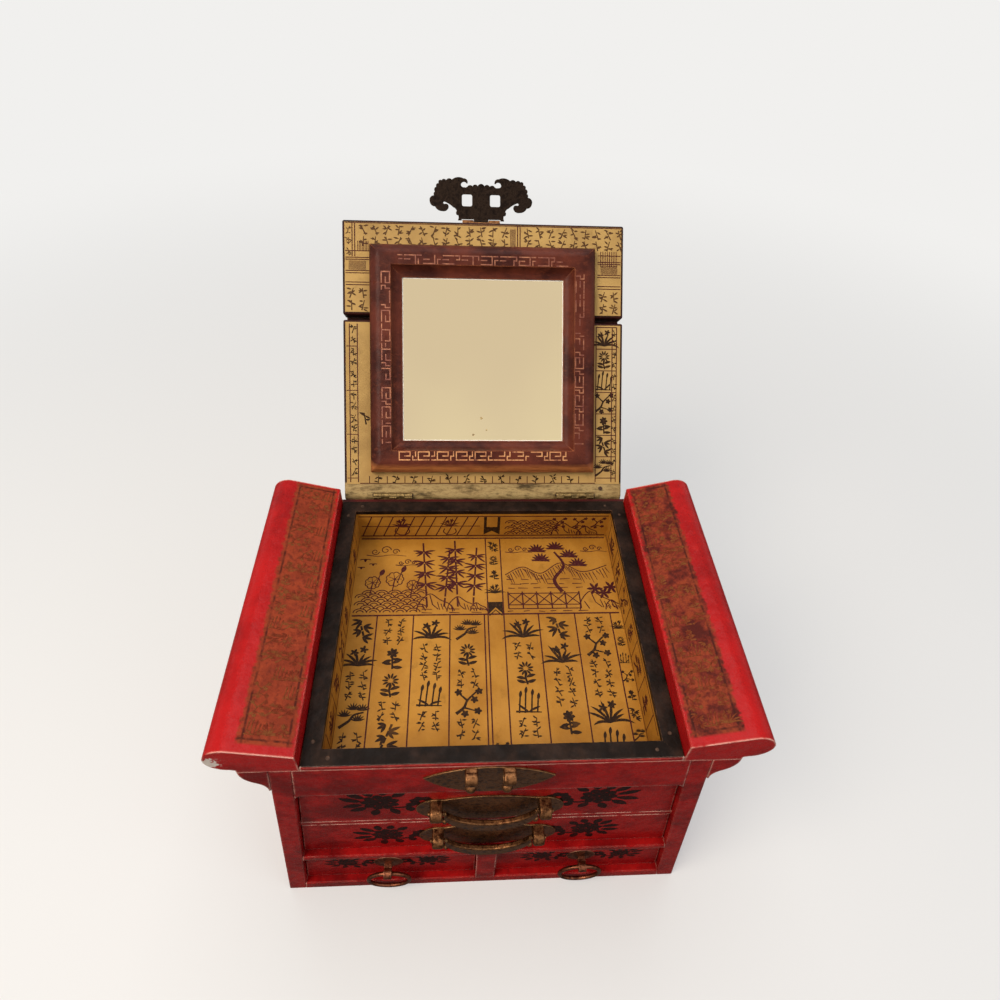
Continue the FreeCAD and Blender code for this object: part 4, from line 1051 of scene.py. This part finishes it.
def mirror_fret():
    """A key fret round the mirror frame's flat band, rubbed away most at the top."""
    rng = random.Random(5)
    inner = mirror_half - 12.55
    height, half, pitch, count = 5.1, 0.33, 11.6, 9
    hook = [(0.0, height), (6.6, height), (6.6, 2.6), (3.4, 2.6)]
    back_hook = [(0.0, height), (0.0, 0.2), (6.4, 0.2)]
    tail = [(9.9, height), (9.9, 2.5), (8.2, 2.5), (8.2, 0.2), (10.6, 0.2)]
    centre = Matrix.Translation(Vector((mirror_x, mirror_v, fret_h)))
    run = Matrix.Translation(Vector((0.0, -inner - height, 0.0)))
    sides = (("foot", 0.1), ("right", 0.3), ("top", 0.34), ("left", 0.24))
    for k, (side, lost) in enumerate(sides):
        shapes = []
        for step in range(count):
            x = (step - count / 2) * pitch + 0.6
            for line in (hook, back_hook, tail):
                for ends in zip(line, line[1:]):
                    if rng.random() > lost:
                        (x0, y0), (x1, y1) = sorted(ends)
                        shapes.append(bar(x + x0 - half, x + x1 + half, y0 - half, y1 + half))
        place = lid_face(0.0) @ centre @ Matrix.Rotation(k * math.pi / 2, 4, "Z") @ run
        # Brighter gilding on the foot: partly painted light, the other sides get the faint copy.
        gilt = faint_gilding if k else gilding
        lay("mirror_fret_" + side, shapes, place, gilt, "lid_front", rng, 0.06)


def glass_marks():
    """The cut edge round the mirror glass, bright as a painted highlight, and three spots of lost
    silver.
    """
    rng = random.Random(9)
    far, near = glass_half, glass_half - 0.5
    edges = [bar(-far, far, near, far), bar(-far, far, -far, -near)]
    edges += [bar(-far, -near, -near, near), bar(near, far, -near, near)]
    place = lid_face(0.0) @ Matrix.Translation(Vector((mirror_x, mirror_v, glass_h)))
    # A near-white line round the glass: painted highlight.
    lay("mirror_glass_edges", edges, place, glass_edge, "lid_front", rng, 0.04)
    lost = ((-1.2, -35.7, 0.9), (2.0, -43.0, 0.6), (-6.2, -46.0, 0.8))
    shapes = [bloom(x, y, r, 3, 0.4) for x, y, r in lost]
    lay("mirror_lost_silver", shapes, place, spots, "lid_front", rng, 0.03)


def wing_panels():
    """Rows of small gilt plants on the wings' slopes, nearly rubbed away."""
    rng = random.Random(17)
    for name, hand in (("left", -1), ("right", 1)):
        slope = (math.cos(wing_slope), 0.0, hand * math.sin(wing_slope))
        place = face((hand * wing_inner, 0.0, wing_edge_z), slope, (0.0, 1.0, 0.0))
        shapes = []
        for column in (6.4, 12.9, 19.4):
            for k in range(17):
                if rng.random() < 0.8:
                    kind = rng.choice(PLANTS)
                    shapes += planted(kind, hand * column, 72.0 - k * 9.0, 7.2, rng)
        lay("wing_" + name + "_plants", shapes, place, panel_paint, "cabinet", rng)


def spray(x, y, s, hand, rng):
    """A full flower among its leaves, with a smaller one on a stem towards the handle."""
    stem = curve([(-0.9, -0.1), (-0.55, -0.34), (-0.1, -0.3)], 4)
    shapes = [stroke(stem, 0.1, 0.07)]
    for a, b, turn, length in (
        (0.18, 0.36, 1.25, 0.4),
        (0.34, 0.26, 0.7, 0.5),
        (0.42, 0.08, 0.3, 0.56),
        (0.42, -0.12, -0.15, 0.56),
        (0.34, -0.28, -0.6, 0.5),
        (0.1, -0.42, -1.3, 0.4),
        (-0.22, -0.38, -2.0, 0.42),
        (-0.3, 0.3, 2.3, 0.4),
        (-0.08, 0.42, 1.8, 0.34),
        (-0.6, -0.3, 2.3, 0.32),
        (-0.64, -0.3, -1.9, 0.32),
    ):
        length *= rng.uniform(0.9, 1.1)
        shapes.append(leaf(a, b, turn, length, 0.23, hand * rng.uniform(-0.5, 0.5)))
    rings = ((0.0, 0.2, 0.27, 9), (0.0, 0.02, 0.26, 6), (-0.98, 0.06, 0.26, 7))
    for a, reach, length, count in rings:
        start = rng.uniform(0, 1)
        for k in range(count):
            turn = start + k * math.tau / count
            foot = a + reach * math.cos(turn), reach * math.sin(turn)
            shapes.append(leaf(*foot, turn, length, 0.24))
    return [[(x + hand * a * s, y + b * s) for a, b in outline] for outline in shapes]


def drawer_flowers():
    """Dark sprays of flowers on the drawer fronts, one each side of the handles."""
    rng = random.Random(3)
    for name, x, reach, z, size in (
        ("upper", 0.0, 57.0, 133.0, 22.0),
        ("middle", 0.0, 57.0, 83.5, 20.0),
        ("left", -60.5, 25.0, 34.0, 14.5),
        ("right", 60.5, 25.0, 34.0, 14.5),
    ):
        shapes = spray(x - reach, z, size, -1, rng) + spray(x + reach, z, size, 1, rng)
        drawer = name + "_drawer"
        lay(drawer + "_flowers", shapes, drawer_front_face, flower_paint, drawer, rng)


well_floor_print()
garden_pictures()
well_wall_prints()
front_leaf_print()
rear_leaf_print()
painted_shade_fold_lip()
mirror_fret()
glass_marks()
wing_panels()
drawer_flowers()


# Studio: pale floor, soft lamps, and the camera where the photograph was taken from.


def studio_floor():
    """A pale sheet that keeps the object's shadow near it and goes even far off."""
    made = bpy.data.materials.new("pale_studio_floor")
    tree = bare_tree(made)
    place = add(tree, "NewGeometry")
    far = add(tree, "VectorMath", {0: (place, "Position")}, operation="LENGTH")
    share = add(
        tree,
        "MapRange",
        {"Value": far, "From Min": 0.25, "From Max": 1.3, "To Min": 0.35},
        interpolation_type="SMOOTHSTEP",
    )
    shown = (add(tree, "LightPath"), "Is Camera Ray")
    seen = add(tree, "Math", {0: shown, 1: share}, operation="MULTIPLY")
    tones = {SHARE: shown, UNDER: "#77726d", OVER: "#e6e4e0"}
    tone = add(tree, "Mix", tones, data_type="RGBA")
    plain = add(tree, "BsdfDiffuse", {"Color": tone})
    glow = add(tree, "Emission", {"Color": "#f1f0ee", "Strength": 1.0})
    both = add(tree, "MixShader", {0: seen, 1: plain, 2: glow})
    add(tree, "OutputMaterial", {"Surface": both})
    sheet = bmesh.new()
    bmesh.ops.create_grid(sheet, x_segments=1, y_segments=1, size=4.0)
    solid("studio_floor", sheet, made)


def studio_world():
    """Pale to the camera and in reflections, dimmer as the light on the object."""
    world = bpy.data.worlds.new("studio_world")
    bpy.context.scene.world = world
    tree = bare_tree(world)
    paths = add(tree, "LightPath")
    seen = (paths, "Is Camera Ray")
    for ray in ("Is Glossy Ray", "Is Transmission Ray"):
        seen = add(tree, "Math", {0: seen, 1: (paths, ray)}, operation="MAXIMUM")
    soft = add(tree, "Background", {"Color": "#dfe3ea", "Strength": 0.42})
    pale = add(tree, "Background", {"Color": "#f1f0ee", "Strength": 1.0})
    both = add(tree, "MixShader", {0: seen, 1: soft, 2: pale})
    add(tree, "OutputWorld", {"Surface": both})


def lamp(name, place, size, power, code):
    """A soft square lamp turned to the middle of the box."""
    light = bpy.data.lights.new(name, "AREA")
    light.size = size
    light.energy = power
    light.color = linear(code)[:3]
    made = stand(name, light)
    made.location = place
    aim = Vector((0.0, 0.0, 0.12)) - Vector(place)
    made.rotation_euler = aim.to_track_quat("-Z", "Y").to_euler()


def photo_camera():
    """The photograph's viewpoint, from a fit to the box's straight edges."""
    yaw, pitch, roll = math.radians(5.15), math.radians(45.86), math.radians(-3.6)
    level = math.cos(pitch)
    ahead = Vector((math.sin(yaw) * level, math.cos(yaw) * level, -math.sin(pitch)))
    right = Vector((math.cos(yaw), -math.sin(yaw), 0.0))
    down = ahead.cross(right)
    right, down = (
        math.cos(roll) * right + math.sin(roll) * down,
        math.cos(roll) * down - math.sin(roll) * right,
    )
    camera = bpy.data.cameras.new("photo_camera")
    camera.sensor_fit = "HORIZONTAL"
    camera.sensor_width = 36.0
    camera.lens = 23.76
    camera.clip_start = 0.01
    made = stand("photo_camera", camera)
    turn = Matrix((right, -down, -ahead)).transposed().to_4x4()
    made.matrix_world = Matrix.Translation((-0.0164, -0.2059, 0.4877)) @ turn
    bpy.context.scene.camera = made


studio_floor()
studio_world()
lamp("key_softbox", (-0.7, -0.5, 1.2), 0.7, 14.0, "#fff4e6")
lamp("fill_softbox", (0.9, -0.7, 0.8), 0.9, 4.0, "#eef3ff")
lamp("top_softbox", (0.0, 0.3, 1.4), 0.8, 6.0, "#ffffff")
photo_camera()
bpy.context.scene.view_settings.view_transform = "Standard"
